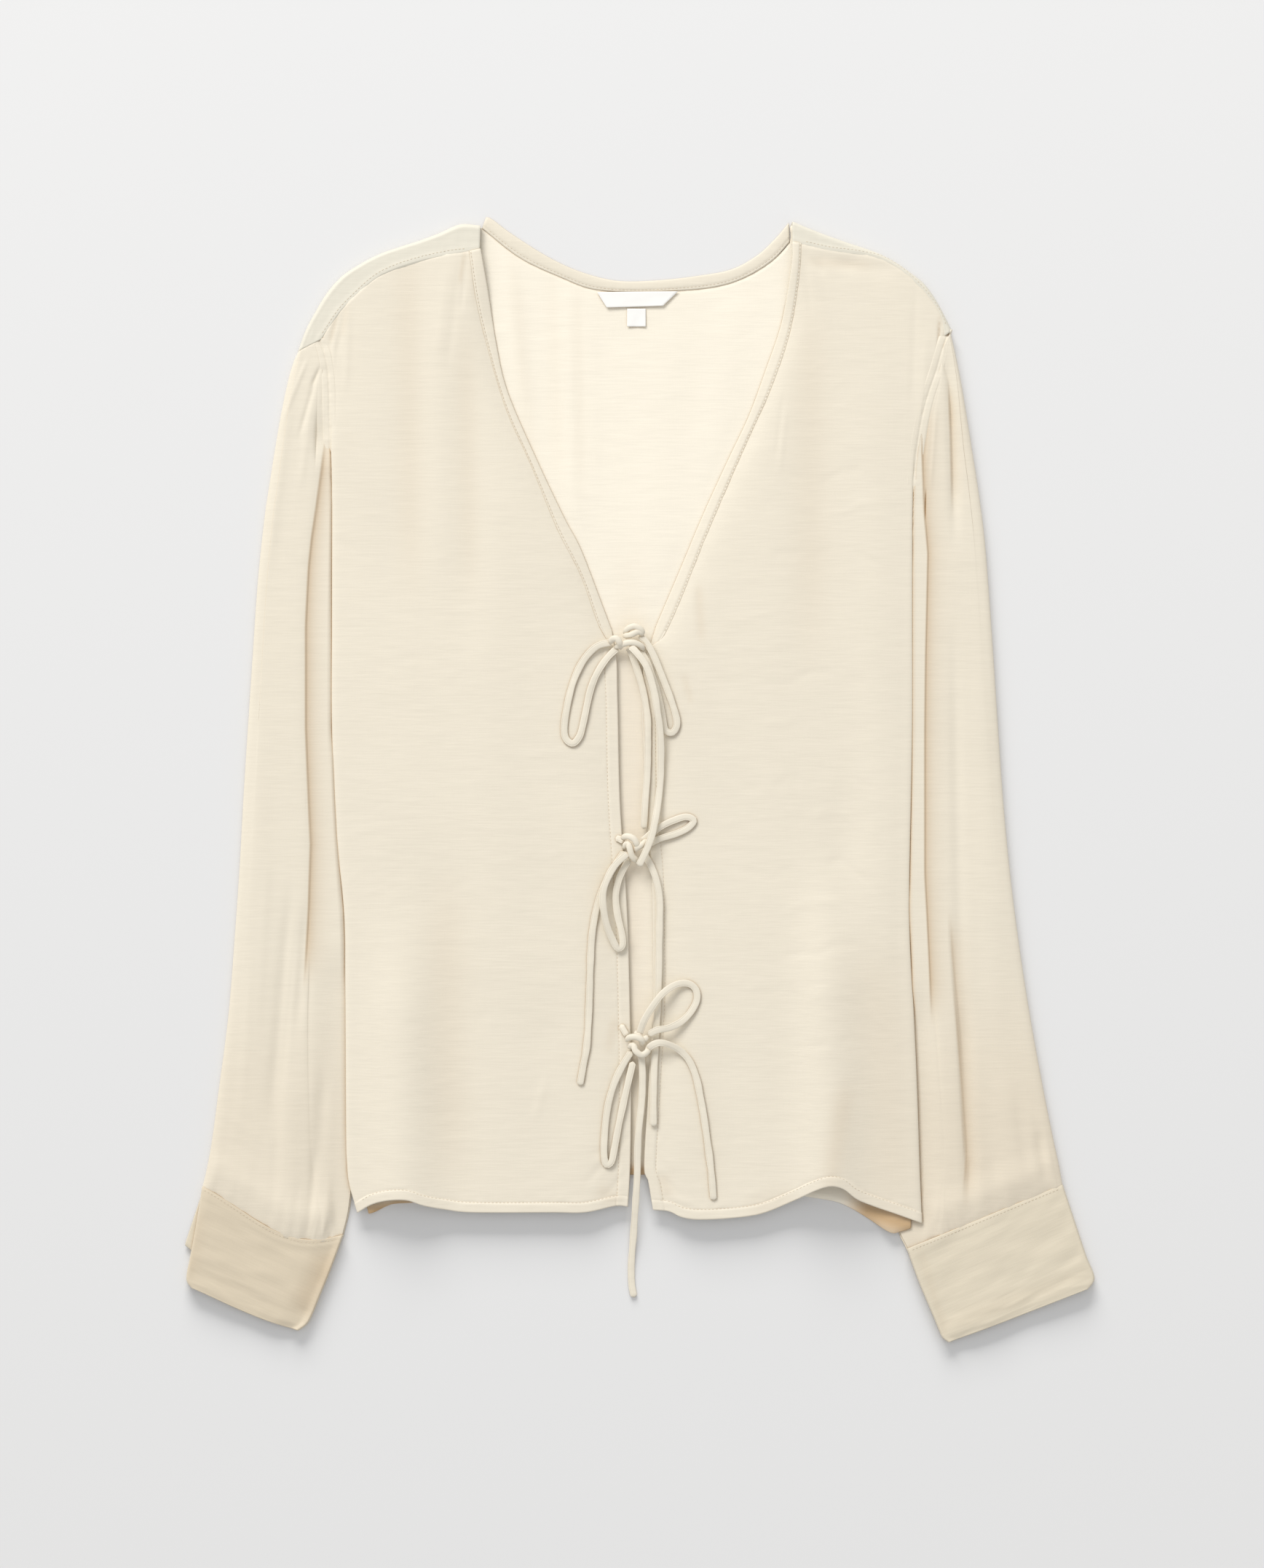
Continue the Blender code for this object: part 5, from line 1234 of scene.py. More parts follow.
def armhole_relief(step, x, y):
    """Groove and puckers of an armhole seam at a share of the way across it."""
    off = step - 0.5
    groove = 0.30 * math.exp(-(off / 0.05) ** 2) + 0.20 * math.exp(-(off / 0.16) ** 2)
    pucker = PUCKER_HEIGHT * float(soft_noise(x / 5.0, y / 3.2, 44)) * math.exp(-(off / 0.2) ** 2)
    return pucker - groove


def armhole_surface(front_item, sleeve_item, route, reach):
    """Grid of the seam allowance that joins a front to its sleeve, a shallow groove."""
    front = surface_of(front_item)
    sleeve = surface_of(sleeve_item)
    line = Line(route)
    outward = 1.0 if route[0][0] > 0.0 else -1.0
    share = np.linspace(0.0, 1.0, ARMHOLE_ROWS)
    rows = []
    for here, point in zip(share, line.at(share)):
        fade = ALLOWANCE_END_DROP * max(0.0, (here - 0.9) / 0.1)
        over = reach * (1.0 if outward < 0.0 else 0.3 + 0.7 * float(ease(0.0, 0.18, here)))
        inner = height_on(front, point[0] - outward * reach, point[1], FRONT_MID)
        outer = height_on(sleeve, point[0] + outward * over, point[1], SLEEVE_MID)
        row = []
        for step in np.linspace(0.0, 1.0, ARMHOLE_STEPS):
            x = point[0] + outward * (2.0 * step - 1.0) * (reach if step < 0.5 else over)
            level = inner + (outer - inner) * float(ease(0.0, 1.0, step))
            hidden = ALLOWANCE_TUCK * (1.0 - min(1.0, step / 0.16, (1.0 - step) / 0.16))
            relief = armhole_relief(step, x, point[1]) - hidden - fade
            row.append((x, point[1], level - ALLOWANCE_DROP + relief))
        rows.append(row)
    return np.array(rows)


def cuff_ring(station):
    """Closed section of a flattened cuff: x, y, z, distance from the outer edge, width."""
    outer_x, outer_y, inner_x, inner_y, bow = station
    outer = np.array((outer_x, outer_y))
    inner = np.array((inner_x, inner_y))
    width = np.linalg.norm(inner - outer)
    low = 0.6
    half = (CUFF_HEIGHT + 0.6 - low) * 0.5
    section = [(width * share, low) for share in (0.22, 0.5, 0.75)]
    section += [
        (width - half, low),
        (width - 0.3 * half, low + 0.35 * half),
        (width, low + half),
        (width - 0.3 * half, low + 1.65 * half),
        (width - half, low + 2.0 * half),
    ]
    section += [(width * share, low + 2.0 * half) for share in (0.85, 0.7, 0.55, 0.4, 0.25, 0.1)]
    section += [
        (half, low + 2.0 * half),
        (0.3 * half, low + 1.65 * half),
        (0.0, low + half),
        (0.3 * half, low + 0.35 * half),
        (half, low),
    ]
    direction = (inner - outer) / width
    ring = []
    for t, z in section:
        plan = outer + direction * t
        plan[1] -= bow * math.sin(math.pi * (t / width) ** 1.35)
        ring.append((plan[0], plan[1], z, t, width))
    return ring


def cuff_surface(stations, seed, crinkle_depth):
    """Grid of the middle of a cuff's doubled cloth."""
    grid = smooth_grid([cuff_ring(station) for station in stations], 12, 6, closed=True)
    x = grid[..., 0]
    y = grid[..., 1]
    along = grid[..., 3]
    width = grid[..., 4]
    top = ease(2.4, 3.8, grid[..., 2])
    hold = ease(0.0, 5.0, along) * ease(0.0, 5.0, width - along)
    seam = Line([(px, py) for px, py in grid[0, :, :2][top[0] > 0.9]])
    edge = Line([(px, py) for px, py in grid[-1, :, :2][top[-1] > 0.9]])
    to_seam = seam.distance(x, y)
    to_edge = edge.distance(x, y)
    slant = y - np.sign(stations[0][0]) * 0.42 * x
    relief = 1.3 * crinkle_depth * crinkle(x, slant, seed)
    relief = relief + 0.7 * soft_noise(x / 26.0, slant / 15.0, seed + 4)
    relief = relief + 0.22 * soft_noise(x / 16.0, slant / 6.0, seed + 5)
    relief = relief + 0.55 * np.exp(-((to_seam - 0.4) / 0.9) ** 2)
    relief = relief + 0.5 * np.exp(-((to_seam - 3.5) / 2.2) ** 2)
    relief = relief - 0.3 * np.exp(-((to_seam - 1.4) / 0.6) ** 2)
    relief = relief - 0.5 * ease(4.0, 0.0, to_edge)
    relief = relief - 1.6 * ease(20.0, 2.0, width - along) * (1.0 if stations is LEFT_CUFF else 0.4)
    grid[..., 2] += relief * top * hold
    all_over = LEFT_CUFF_SHADE if stations is LEFT_CUFF else 0.0
    return grid[..., :3], (fold_height(CUFF_SHADES, x, y) + all_over) * top


TIE_DROP = 1.45
RIBBON_SIDES = 32
ROOT_WIDTH = 4.0
ROOT_THICKNESS = 1.8
KNOT_RADIUS = 2.0
KNOT_FLATNESS = 0.6


def ribbon_object(name, route, width, thickness, material, seed):
    """Flat turned tie: a soft tube along its route, with a seam along one edge."""
    line = Line(route)
    rings = max(8, int(line.length / 1.3))
    share = np.linspace(0.0, 1.0, rings)
    centre = line.at(share)
    centre[:, 2] -= TIE_DROP
    run = unit(np.gradient(centre, axis=0))
    side = unit(np.cross(run, np.array((0.0, 0.0, 1.0))))
    up = np.cross(side, run)
    distance = share * line.length
    tilt = 0.22 * soft_noise(distance / 26.0, np.zeros(rings), seed)
    wide = width * 0.5 * (1.0 + 0.10 * soft_noise(distance / 11.0, np.zeros(rings), seed + 1))
    thick = thickness * 0.5 * (1.0 + 0.18 * soft_noise(distance / 6.0, np.zeros(rings), seed + 2))
    end = np.minimum(distance, line.length - distance)
    close = np.sqrt(np.clip(1.0 - (1.0 - end / 1.4) ** 2, 0.03, 1.0))
    close = np.where(end >= 1.4, 1.0, close)
    angle = np.linspace(0.0, 2.0 * math.pi, RIBBON_SIDES, endpoint=False)
    cosine = np.sign(np.cos(angle)) * np.abs(np.cos(angle)) ** 0.7
    sine = np.sign(np.sin(angle)) * np.abs(np.sin(angle)) ** 0.6
    seam = 1.0 - 0.45 * np.exp(-((angle - 0.95) / 0.13) ** 2)
    across = cosine[None] * (wide * close)[:, None]
    above = (sine * seam)[None] * (thick * close)[:, None]
    turned = side * np.cos(tilt)[:, None] + up * np.sin(tilt)[:, None]
    lifted = up * np.cos(tilt)[:, None] - side * np.sin(tilt)[:, None]
    points = centre[:, None] + turned[:, None] * across[..., None] + lifted[:, None] * above[..., None]
    points = points.reshape(-1, 3)
    index = np.arange(rings * RIBBON_SIDES).reshape(rings, RIBBON_SIDES)
    after = np.roll(index, -1, axis=1)
    faces = np.stack([index[:-1], after[:-1], after[1:], index[1:]], axis=-1).reshape(-1, 4).tolist()
    faces.append(index[0][::-1].tolist())
    faces.append(index[-1].tolist())
    return mesh_object(name, points, faces, material), centre, line.length


def tube_mesh(route, radius, flatness, sides=14):
    """Points and faces of a soft closed tube along a short route."""
    line = Line(route)
    rings = max(10, int(line.length / 0.8))
    share = np.linspace(0.0, 1.0, rings)
    centre = line.at(share)
    run = unit(np.gradient(centre, axis=0))
    side = unit(np.cross(run, np.array((0.0, 0.0, 1.0))))
    up = np.cross(side, run)
    close = np.clip(np.sin(math.pi * np.clip(share, 0.0, 1.0)) * 3.0, 0.25, 1.0) ** 0.5
    angle = np.linspace(0.0, 2.0 * math.pi, sides, endpoint=False)
    across = np.cos(angle)[None] * (radius * close)[:, None]
    above = np.sin(angle)[None] * (radius * flatness * close)[:, None]
    points = centre[:, None] + side[:, None] * across[..., None] + up[:, None] * above[..., None]
    index = np.arange(rings * sides).reshape(rings, sides)
    after = np.roll(index, -1, axis=1)
    faces = np.stack([index[:-1], after[:-1], after[1:], index[1:]], axis=-1).reshape(-1, 4).tolist()
    faces.append(index[0][::-1].tolist())
    faces.append(index[-1].tolist())
    return points.reshape(-1, 3), faces


def joined_object(name, parts, material):
    """One mesh object from several sets of points and faces."""
    points = []
    faces = []
    for part_points, part_faces in parts:
        base = sum(len(group) for group in points)
        points.append(part_points)
        faces += [[corner + base for corner in face] for face in part_faces]
    return mesh_object(name, np.concatenate(points), faces, material)


# Small plates of cloth: height of their middle, curl and wall
FLAP_LEVEL = 1.0
FLAP_CURL = 0.3
FLAP_WALL = 0.8
LABEL_LEVEL = 1.9
TAG_LEVEL = 1.5
LABEL_CURL = 0.5
LABEL_WALL = 0.35
CUFF_WALL = 0.9


def plate_surface(corners, base, lift):
    """Grid of a small ribbon label from its four corners, a little curled."""
    a, b, c, d = [np.array(corner) for corner in corners]
    u = np.linspace(0.0, 1.0, 24)[None, :, None]
    v = np.linspace(0.0, 1.0, 14)[:, None, None]
    top = d * (1.0 - u) + c * u
    bottom = a * (1.0 - u) + b * u
    plan = top * (1.0 - v) + bottom * v
    curl = lift * v[..., 0] ** 2 * (0.6 + 0.4 * np.cos(2.0 * math.pi * u[..., 0]))
    z = base + curl + 0.08 * soft_noise(plan[..., 0] / 6.0, plan[..., 1] / 5.0, 91)
    return np.concatenate([plan, np.broadcast_to(z, plan.shape[:2])[..., None]], axis=-1)


def stitch_parts(carrier, line, pitch, length, radius):
    """Threads of a line of stitching, laid on the cloth below a line in plan."""
    surface = surface_of(carrier)
    count = int(line.length / pitch)
    parts = []
    for index in range(count):
        start = (index + 0.2) * pitch / line.length
        ends = line.at(np.array((start, start + length / line.length)))
        heights = [height_on(surface, x, y, None) for x, y in ends[:, :2]]
        if None in heights:
            continue
        first = np.array((*ends[0, :2], heights[0] - 0.05))
        last = np.array((*ends[1, :2], heights[1] - 0.05))
        run = unit(last - first)
        side = unit(np.cross(run, np.array((0.0, 0.0, 1.0))))
        up = np.cross(side, run)
        points = []
        for share, size in ((0.0, 0.3), (0.2, 0.95), (0.5, 1.0), (0.8, 0.95), (1.0, 0.3)):
            middle = first * (1.0 - share) + last * share + up * 0.12 * math.sin(math.pi * share)
            for corner in range(6):
                turn = corner * math.pi / 3.0
                points.append(middle + (side * math.cos(turn) + up * math.sin(turn)) * radius * size)
        faces = []
        for ring in range(4):
            for corner in range(6):
                after = (corner + 1) % 6
                low = ring * 6
                faces.append([low + corner, low + after, low + 6 + after, low + 6 + corner])
        faces.append([5, 4, 3, 2, 1, 0])
        faces.append([24, 25, 26, 27, 28, 29])
        parts.append((np.array(points), faces))
    return parts


def new_group(name, inputs, outputs):
    """An empty shader node group with named sockets."""
    group = bpy.data.node_groups.new(name, "ShaderNodeTree")
    for label, kind, default in inputs:
        socket = group.interface.new_socket(label, in_out="INPUT", socket_type=kind)
        if default is not None:
            socket.default_value = default
    for label, kind in outputs:
        group.interface.new_socket(label, in_out="OUTPUT", socket_type=kind)
    source = group.nodes.new("NodeGroupInput")
    target = group.nodes.new("NodeGroupOutput")
    return group, source, target


def stretched_noise(group, coordinates, scale, detail, location):
    """Noise drawn out along one direction of the cloth."""
    mapping = group.nodes.new("ShaderNodeMapping")
    mapping.inputs["Scale"].default_value = scale
    mapping.inputs["Location"].default_value = location
    noise = group.nodes.new("ShaderNodeTexNoise")
    noise.inputs["Scale"].default_value = 1.0
    noise.inputs["Detail"].default_value = detail
    noise.inputs["Roughness"].default_value = 0.6
    group.links.new(coordinates, mapping.inputs["Vector"])
    group.links.new(mapping.outputs["Vector"], noise.inputs["Vector"])
    return noise.outputs["Fac"]


def weighted(group, values, weights):
    """Sum of values, each times its weight."""
    total = None
    for value, weight in zip(values, weights):
        node = group.nodes.new("ShaderNodeMath")
        node.operation = "MULTIPLY_ADD"
        group.links.new(value, node.inputs[0])
        if isinstance(weight, float):
            node.inputs[1].default_value = weight
        else:
            group.links.new(weight, node.inputs[1])
        if total is None:
            node.inputs[2].default_value = 0.0
        else:
            group.links.new(total, node.inputs[2])
        total = node.outputs[0]
    return total


def crepe_group():
    """Slubs, grain and cloudy shade of crepe cloth woven with uneven yarn."""
    group, source, target = new_group(
        "crepe_weave",
        [("Vector", "NodeSocketVector", None), ("Slub Share", "NodeSocketFloat", 1.0)],
        [("Shade", "NodeSocketFloat"), ("Height", "NodeSocketFloat"), ("Gloss", "NodeSocketFloat")],
    )
    place = source.outputs["Vector"]
    slub = stretched_noise(group, place, (55.0, 900.0, 300.0), 2.0, (0.3, 0.1, 0.0))
    ripple = stretched_noise(group, place, (28.0, 260.0, 120.0), 3.0, (4.0, 2.0, 0.0))
    warp = stretched_noise(group, place, (1300.0, 90.0, 300.0), 1.0, (1.0, 7.0, 0.0))
    grain = stretched_noise(group, place, (2400.0, 2400.0, 2400.0), 1.0, (0.0, 0.0, 0.0))
    cloud = stretched_noise(group, place, (9.0, 13.0, 9.0), 3.0, (5.0, 3.0, 0.0))
    shade = weighted(group, [slub, ripple, warp, cloud], [source.outputs["Slub Share"], 0.35, 0.2, 0.55])
    height = weighted(group, [slub, ripple, warp, grain], [source.outputs["Slub Share"], 1.4, 0.25, 0.35])
    gloss = weighted(group, [slub, cloud], [0.5, 0.5])
    group.links.new(shade, target.inputs["Shade"])
    group.links.new(height, target.inputs["Height"])
    group.links.new(gloss, target.inputs["Gloss"])
    return group


# Tint of the shade painted into deep folds over the cloth's own colour, the least share of
# light that painted occlusion shade leaves in a crack, and how far in metres a place looks for cloth that
# stands over it
PAINTED_SHADE_TINT = (0.56, 0.37, 0.18)
LEAST_OPEN = 0.42
FOLD_REACH = 0.002
CUFF_FOLD_REACH = 0.003


def occlusion_shade_group():
    """How open a place is to the light, read from occlusion for shade painted into the colour: 0 deep in a
    fold, 1 in the open.
    """
    group, source, target = new_group(
        "fold_occlusion_shade", [("Distance", "NodeSocketFloat", 0.008)], [("Open", "NodeSocketFloat")])
    reach = group.nodes.new("ShaderNodeAmbientOcclusion")
    reach.samples = 8
    group.links.new(source.outputs["Distance"], reach.inputs["Distance"])
    spread = group.nodes.new("ShaderNodeMapRange")
    spread.inputs["From Min"].default_value = 0.25
    spread.inputs["From Max"].default_value = 0.92
    spread.inputs["To Min"].default_value = LEAST_OPEN
    group.links.new(reach.outputs["AO"], spread.inputs["Value"])
    group.links.new(spread.outputs["Result"], target.inputs["Open"])
    return group


def mapped(tree, value, low, high, to_low, to_high):
    """A value carried from one range to another."""
    node = tree.nodes.new("ShaderNodeMapRange")
    node.inputs["From Min"].default_value = low
    node.inputs["From Max"].default_value = high
    node.inputs["To Min"].default_value = to_low
    node.inputs["To Max"].default_value = to_high
    tree.links.new(value, node.inputs["Value"])
    return node.outputs["Result"]


def crepe_material(name, group, colour, shadow, roughness, sheen, slub, bump, angle, reach):
    """Soft satin crepe: slubbed colour, uneven gloss, fine relief and sheen, with shade painted into the
    colour in folds and cracks.
    """
    material = bpy.data.materials.new(name)
    material.use_nodes = True
    tree = material.node_tree
    shader = tree.nodes["Principled BSDF"]
    place = tree.nodes.new("ShaderNodeTexCoord")
    turn = tree.nodes.new("ShaderNodeMapping")
    turn.inputs["Rotation"].default_value = (0.0, 0.0, angle)
    weave = tree.nodes.new("ShaderNodeGroup")
    weave.node_tree = group
    weave.inputs["Slub Share"].default_value = slub
    ramp = tree.nodes.new("ShaderNodeMix")
    ramp.data_type = "RGBA"
    ramp.inputs["A"].default_value = (*shadow, 1.0)
    ramp.inputs["B"].default_value = (*colour, 1.0)
    relief = tree.nodes.new("ShaderNodeBump")
    relief.inputs["Strength"].default_value = bump
    relief.inputs["Distance"].default_value = 0.0002
    tree.links.new(place.outputs["Object"], turn.inputs["Vector"])
    tree.links.new(turn.outputs["Vector"], weave.inputs["Vector"])
    middle = (slub + 1.1) * 0.5
    spread = 0.42
    slubs = mapped(tree, weave.outputs["Shade"], middle - spread, middle + spread, 0.0, 1.0)
    tree.links.new(slubs, ramp.inputs["Factor"])
    # Painted shade: the colour is mixed towards the fold tint where occlusion or the fold_shade attribute
    # puts a place in a fold
    occlusion_shade = tree.nodes.new("ShaderNodeGroup")
    occlusion_shade.node_tree = bpy.data.node_groups.get("fold_occlusion_shade") or occlusion_shade_group()
    occlusion_shade.inputs["Distance"].default_value = reach
    painted = tree.nodes.new("ShaderNodeAttribute")
    painted.attribute_name = "fold_shade"
    lit = tree.nodes.new("ShaderNodeMath")
    lit.operation = "SUBTRACT"
    lit.use_clamp = True
    deep = tree.nodes.new("ShaderNodeMix")
    deep.data_type = "RGBA"
    deep.blend_type = "MULTIPLY"
    deep.inputs["Factor"].default_value = 1.0
    deep.inputs["B"].default_value = (*PAINTED_SHADE_TINT, 1.0)
    open_mix = tree.nodes.new("ShaderNodeMix")
    open_mix.data_type = "RGBA"
    tree.links.new(ramp.outputs["Result"], deep.inputs["A"])
    tree.links.new(deep.outputs["Result"], open_mix.inputs["A"])
    tree.links.new(ramp.outputs["Result"], open_mix.inputs["B"])
    tree.links.new(occlusion_shade.outputs["Open"], lit.inputs[0])
    tree.links.new(painted.outputs["Fac"], lit.inputs[1])
    tree.links.new(lit.outputs[0], open_mix.inputs["Factor"])
    tree.links.new(open_mix.outputs["Result"], shader.inputs["Base Color"])
    tree.links.new(mapped(tree, weave.outputs["Gloss"], 0.35, 0.65, roughness - 0.06, roughness + 0.06),
                   shader.inputs["Roughness"])
    tree.links.new(weave.outputs["Height"], relief.inputs["Height"])
    tree.links.new(relief.outputs["Normal"], shader.inputs["Normal"])
    shader.inputs["Metallic"].default_value = 0.0
    shader.inputs["Specular IOR Level"].default_value = 0.35
    shader.inputs["Sheen Weight"].default_value = sheen
    shader.inputs["Sheen Roughness"].default_value = 0.5
    return material


def floor_material(name, colour):
    """Plain matt pale floor."""
    material = bpy.data.materials.new(name)
    material.use_nodes = True
    tree = material.node_tree
    shader = tree.nodes["Principled BSDF"]
    shader.inputs["Base Color"].default_value = (*colour, 1.0)
    shader.inputs["Roughness"].default_value = 0.95
    shader.inputs["Specular IOR Level"].default_value = 0.1
    return material


class BlouseClothSettings(bpy.types.PropertyGroup):
    """Sizes and colours of the blouse's cloth."""

    front_colour: bpy.props.FloatVectorProperty(
        name="Front colour", description="Colour of the two fronts", subtype="COLOR",
        size=3, min=0.0, max=1.0, default=(0.830, 0.762, 0.632))
    # Lighter than the fronts' colour: painted light on the back where it shows inside the V and between
    # the fronts
    back_colour_painted_light: bpy.props.FloatVectorProperty(
        name="Back colour", description="Colour of the back's inner face and the shoulders",
        subtype="COLOR", size=3, min=0.0, max=1.0, default=(0.935, 0.868, 0.735))
    # Darker and greener than the back it wraps from: painted shade over the shoulders where the back folds
    # forward
    shoulder_colour_painted_shade: bpy.props.FloatVectorProperty(
        name="Shoulder colour", description="Colour of the back where it wraps over the shoulders",
        subtype="COLOR", size=3, min=0.0, max=1.0, default=(0.775, 0.735, 0.625))
    sleeve_colour: bpy.props.FloatVectorProperty(
        name="Sleeve colour", description="Colour of the sleeves", subtype="COLOR",
        size=3, min=0.0, max=1.0, default=(0.820, 0.752, 0.622))
    cuff_colour: bpy.props.FloatVectorProperty(
        name="Cuff colour", description="Colour of the doubled cuffs", subtype="COLOR",
        size=3, min=0.0, max=1.0, default=(0.745, 0.668, 0.525))
    tie_colour: bpy.props.FloatVectorProperty(
        name="Tie colour", description="Colour of the turned ties", subtype="COLOR",
        size=3, min=0.0, max=1.0, default=(0.820, 0.758, 0.632))
    thread_colour: bpy.props.FloatVectorProperty(
        name="Thread colour", description="Colour of the sewing thread", subtype="COLOR",
        size=3, min=0.0, max=1.0, default=(0.735, 0.655, 0.520))
    label_colour: bpy.props.FloatVectorProperty(
        name="Label colour", description="Colour of the bare neck labels", subtype="COLOR",
        size=3, min=0.0, max=1.0, default=(0.93, 0.93, 0.92))
    shadow_share: bpy.props.FloatProperty(
        name="Slub depth", description="Brightness of the darkest slubs as a share of the colour",
        default=0.93, min=0.5, max=1.0, subtype="FACTOR")
    roughness: bpy.props.FloatProperty(
        name="Roughness", description="Roughness of the satin crepe", default=0.52,
        min=0.1, max=1.0, subtype="FACTOR")
    sheen: bpy.props.FloatProperty(
        name="Sheen", description="Strength of the cloth's sheen", default=0.12,
        min=0.0, max=1.0, subtype="FACTOR")
    crinkle_depth: bpy.props.FloatProperty(
        name="Crinkle depth", description="Height of the fine crinkle, in millimetres",
        default=0.16, min=0.0, max=1.0)
    cloth_wall: bpy.props.FloatProperty(
        name="Cloth thickness", description="Thickness of one layer of cloth, in millimetres",
        default=0.45, min=0.2, max=1.0)


class BlouseTrimSettings(bpy.types.PropertyGroup):
    """Sizes of the ties and the stitching."""

    tie_width: bpy.props.FloatProperty(
        name="Tie width", description="Width of a flat tie, in millimetres", default=4.3,
        min=2.0, max=12.0)
    tie_thickness: bpy.props.FloatProperty(
        name="Tie thickness", description="Thickness of a turned tie, in millimetres",
        default=1.3, min=0.8, max=6.0)
    stitch_pitch: bpy.props.FloatProperty(
        name="Stitch pitch", description="Distance from stitch to stitch, in millimetres",
        default=2.4, min=1.0, max=6.0)
    stitch_length: bpy.props.FloatProperty(
        name="Stitch length", description="Length of thread that shows, in millimetres",
        default=1.6, min=0.5, max=5.0)
    stitch_radius: bpy.props.FloatProperty(
        name="Thread radius", description="Radius of the thread, in millimetres",
        default=0.15, min=0.05, max=0.6)


class BlouseStudioSettings(bpy.types.PropertyGroup):
    """Floor, lamps and camera."""

    floor_colour: bpy.props.FloatVectorProperty(
        name="Floor colour", description="Colour of the plain floor", subtype="COLOR",
        size=3, min=0.0, max=1.0, default=(0.80, 0.80, 0.80))
    key_power: bpy.props.FloatProperty(
        name="Key lamp", description="Power of the large soft lamp that lights the cloth",
        default=450.0, min=0.0, subtype="POWER", unit="POWER")
    floor_power: bpy.props.FloatProperty(
        name="Floor lamp", description="Power of the low lamp that gives the floor its soft shadows",
        default=1030.0, min=0.0, subtype="POWER", unit="POWER")
    fill_strength: bpy.props.FloatProperty(
        name="Room light", description="Strength of the even light of the room",
        default=0.63, min=0.0, max=5.0)
    lens: bpy.props.FloatProperty(
        name="Lens", description="Focal length of the overhead camera, in millimetres",
        default=100.0, min=20.0, max=300.0)
    frame_height: bpy.props.FloatProperty(
        name="Frame height", description="Height of the picture at the garment, in metres",
        default=0.99084, min=0.1, max=3.0, subtype="DISTANCE", unit="LENGTH")


def cloth_settings():
    """The cloth's settings in the open scene."""
    return bpy.context.scene.blouse_cloth


def shaded(colour, share):
    """A colour made darker by a share."""
    return tuple(channel * share for channel in colour)


def weave_group():
    """The crepe node group, built once."""
    return bpy.data.node_groups.get("crepe_weave") or crepe_group()


def cloth_material(name, colour, slub=1.0, bump=0.35, angle=0.0, reach=FOLD_REACH):
    """Crepe of one colour, built once."""
    settings = cloth_settings()
    found = bpy.data.materials.get(name)
    if found:
        return found
    return crepe_material(name, weave_group(), tuple(colour), shaded(colour, settings.shadow_share),
                          settings.roughness, settings.sheen, slub, bump, angle, reach)


def piece(name):
    """A finished piece by name, which has to be there already."""
    item = bpy.data.objects.get(name)
    if item is None:
        raise RuntimeError("the piece " + name + " has to be made first")
    return item


class BLOUSE_OT_back(bpy.types.Operator):
    """Make the back panel, its hem and the shoulders wrapped to the front"""

    bl_idname = "blouse.make_back"
    bl_label = "Back"

    def execute(self, context):
        settings = cloth_settings()
        cloth = cloth_material("crepe_back_painted_light", settings.back_colour_painted_light)
        middle, wall, shade = back_surface()
        back = cloth_object("back_cloth", middle, wall, cloth, ["back"], shade=shade)
        sides = (
            ("shoulder_left", Line(LEFT_SHOULDER_EDGE), Line(LEFT_SHOULDER_SEAM), 62),
            ("shoulder_right", Line(RIGHT_SHOULDER_EDGE), Line(RIGHT_SHOULDER_SEAM), 63),
        )
        wrap_cloth = cloth_material("crepe_shoulder_painted_shade", settings.shoulder_colour_painted_shade)
        for name, edge, seam, seed in sides:
            surface = shoulder_surface(edge, seam, seed)
            wrap = cloth_object(name, surface, settings.cloth_wall, wrap_cloth, ["back"])
        return {"FINISHED"}


class BLOUSE_OT_fronts(bpy.types.Operator):
    """Make the two fronts with their folds, hems and centre bands"""

    bl_idname = "blouse.make_fronts"
    bl_label = "Fronts"

    def execute(self, context):
        settings = cloth_settings()
        cloth = cloth_material("crepe_front", settings.front_colour)
        for name, front, seed in (("front_left", LEFT, 11), ("front_right", RIGHT, 12)):
            middle, wall, shade = front_surface(front, seed, settings.crinkle_depth)
            item = cloth_object(name + "_cloth", middle, wall, cloth, [name], shade=shade)
        return {"FINISHED"}


class BLOUSE_OT_neck(bpy.types.Operator):
    """Make the bias binding of the neck in its three stretches"""

    bl_idname = "blouse.make_neck"
    bl_label = "Neck binding"

    def execute(self, context):
        settings = cloth_settings()
        cloth = cloth_material("crepe_front", settings.front_colour)
        inner = cloth_material("crepe_binding", settings.sleeve_colour)
        for name, front, seed in (("neck_binding_left", LEFT, 15), ("neck_binding_right", RIGHT, 16)):
            cloth_object(name + "_cloth", binding_surface(front, seed), 0.8, cloth, [name])
        cloth_object("neck_binding_back_cloth", neck_surface(), 0.9, inner, ["neck_binding_back"])
        return {"FINISHED"}


class BLOUSE_OT_sleeves(bpy.types.Operator):
    """Make the two sleeves as flattened tubes, gathered at the cuffs"""

    bl_idname = "blouse.make_sleeves"
    bl_label = "Sleeves"

    def execute(self, context):
        settings = cloth_settings()
        cloth = cloth_material("crepe_sleeve", settings.sleeve_colour)
        for name, stations, seed in (("sleeve_left", LEFT_SLEEVE, 21), ("sleeve_right", RIGHT_SLEEVE, 22)):
            middle, shade = sleeve_surface(stations, seed, settings.crinkle_depth)
            item = cloth_object(name + "_cloth", middle, settings.cloth_wall, cloth, [name],
                                closed=True, shade=shade)
        return {"FINISHED"}


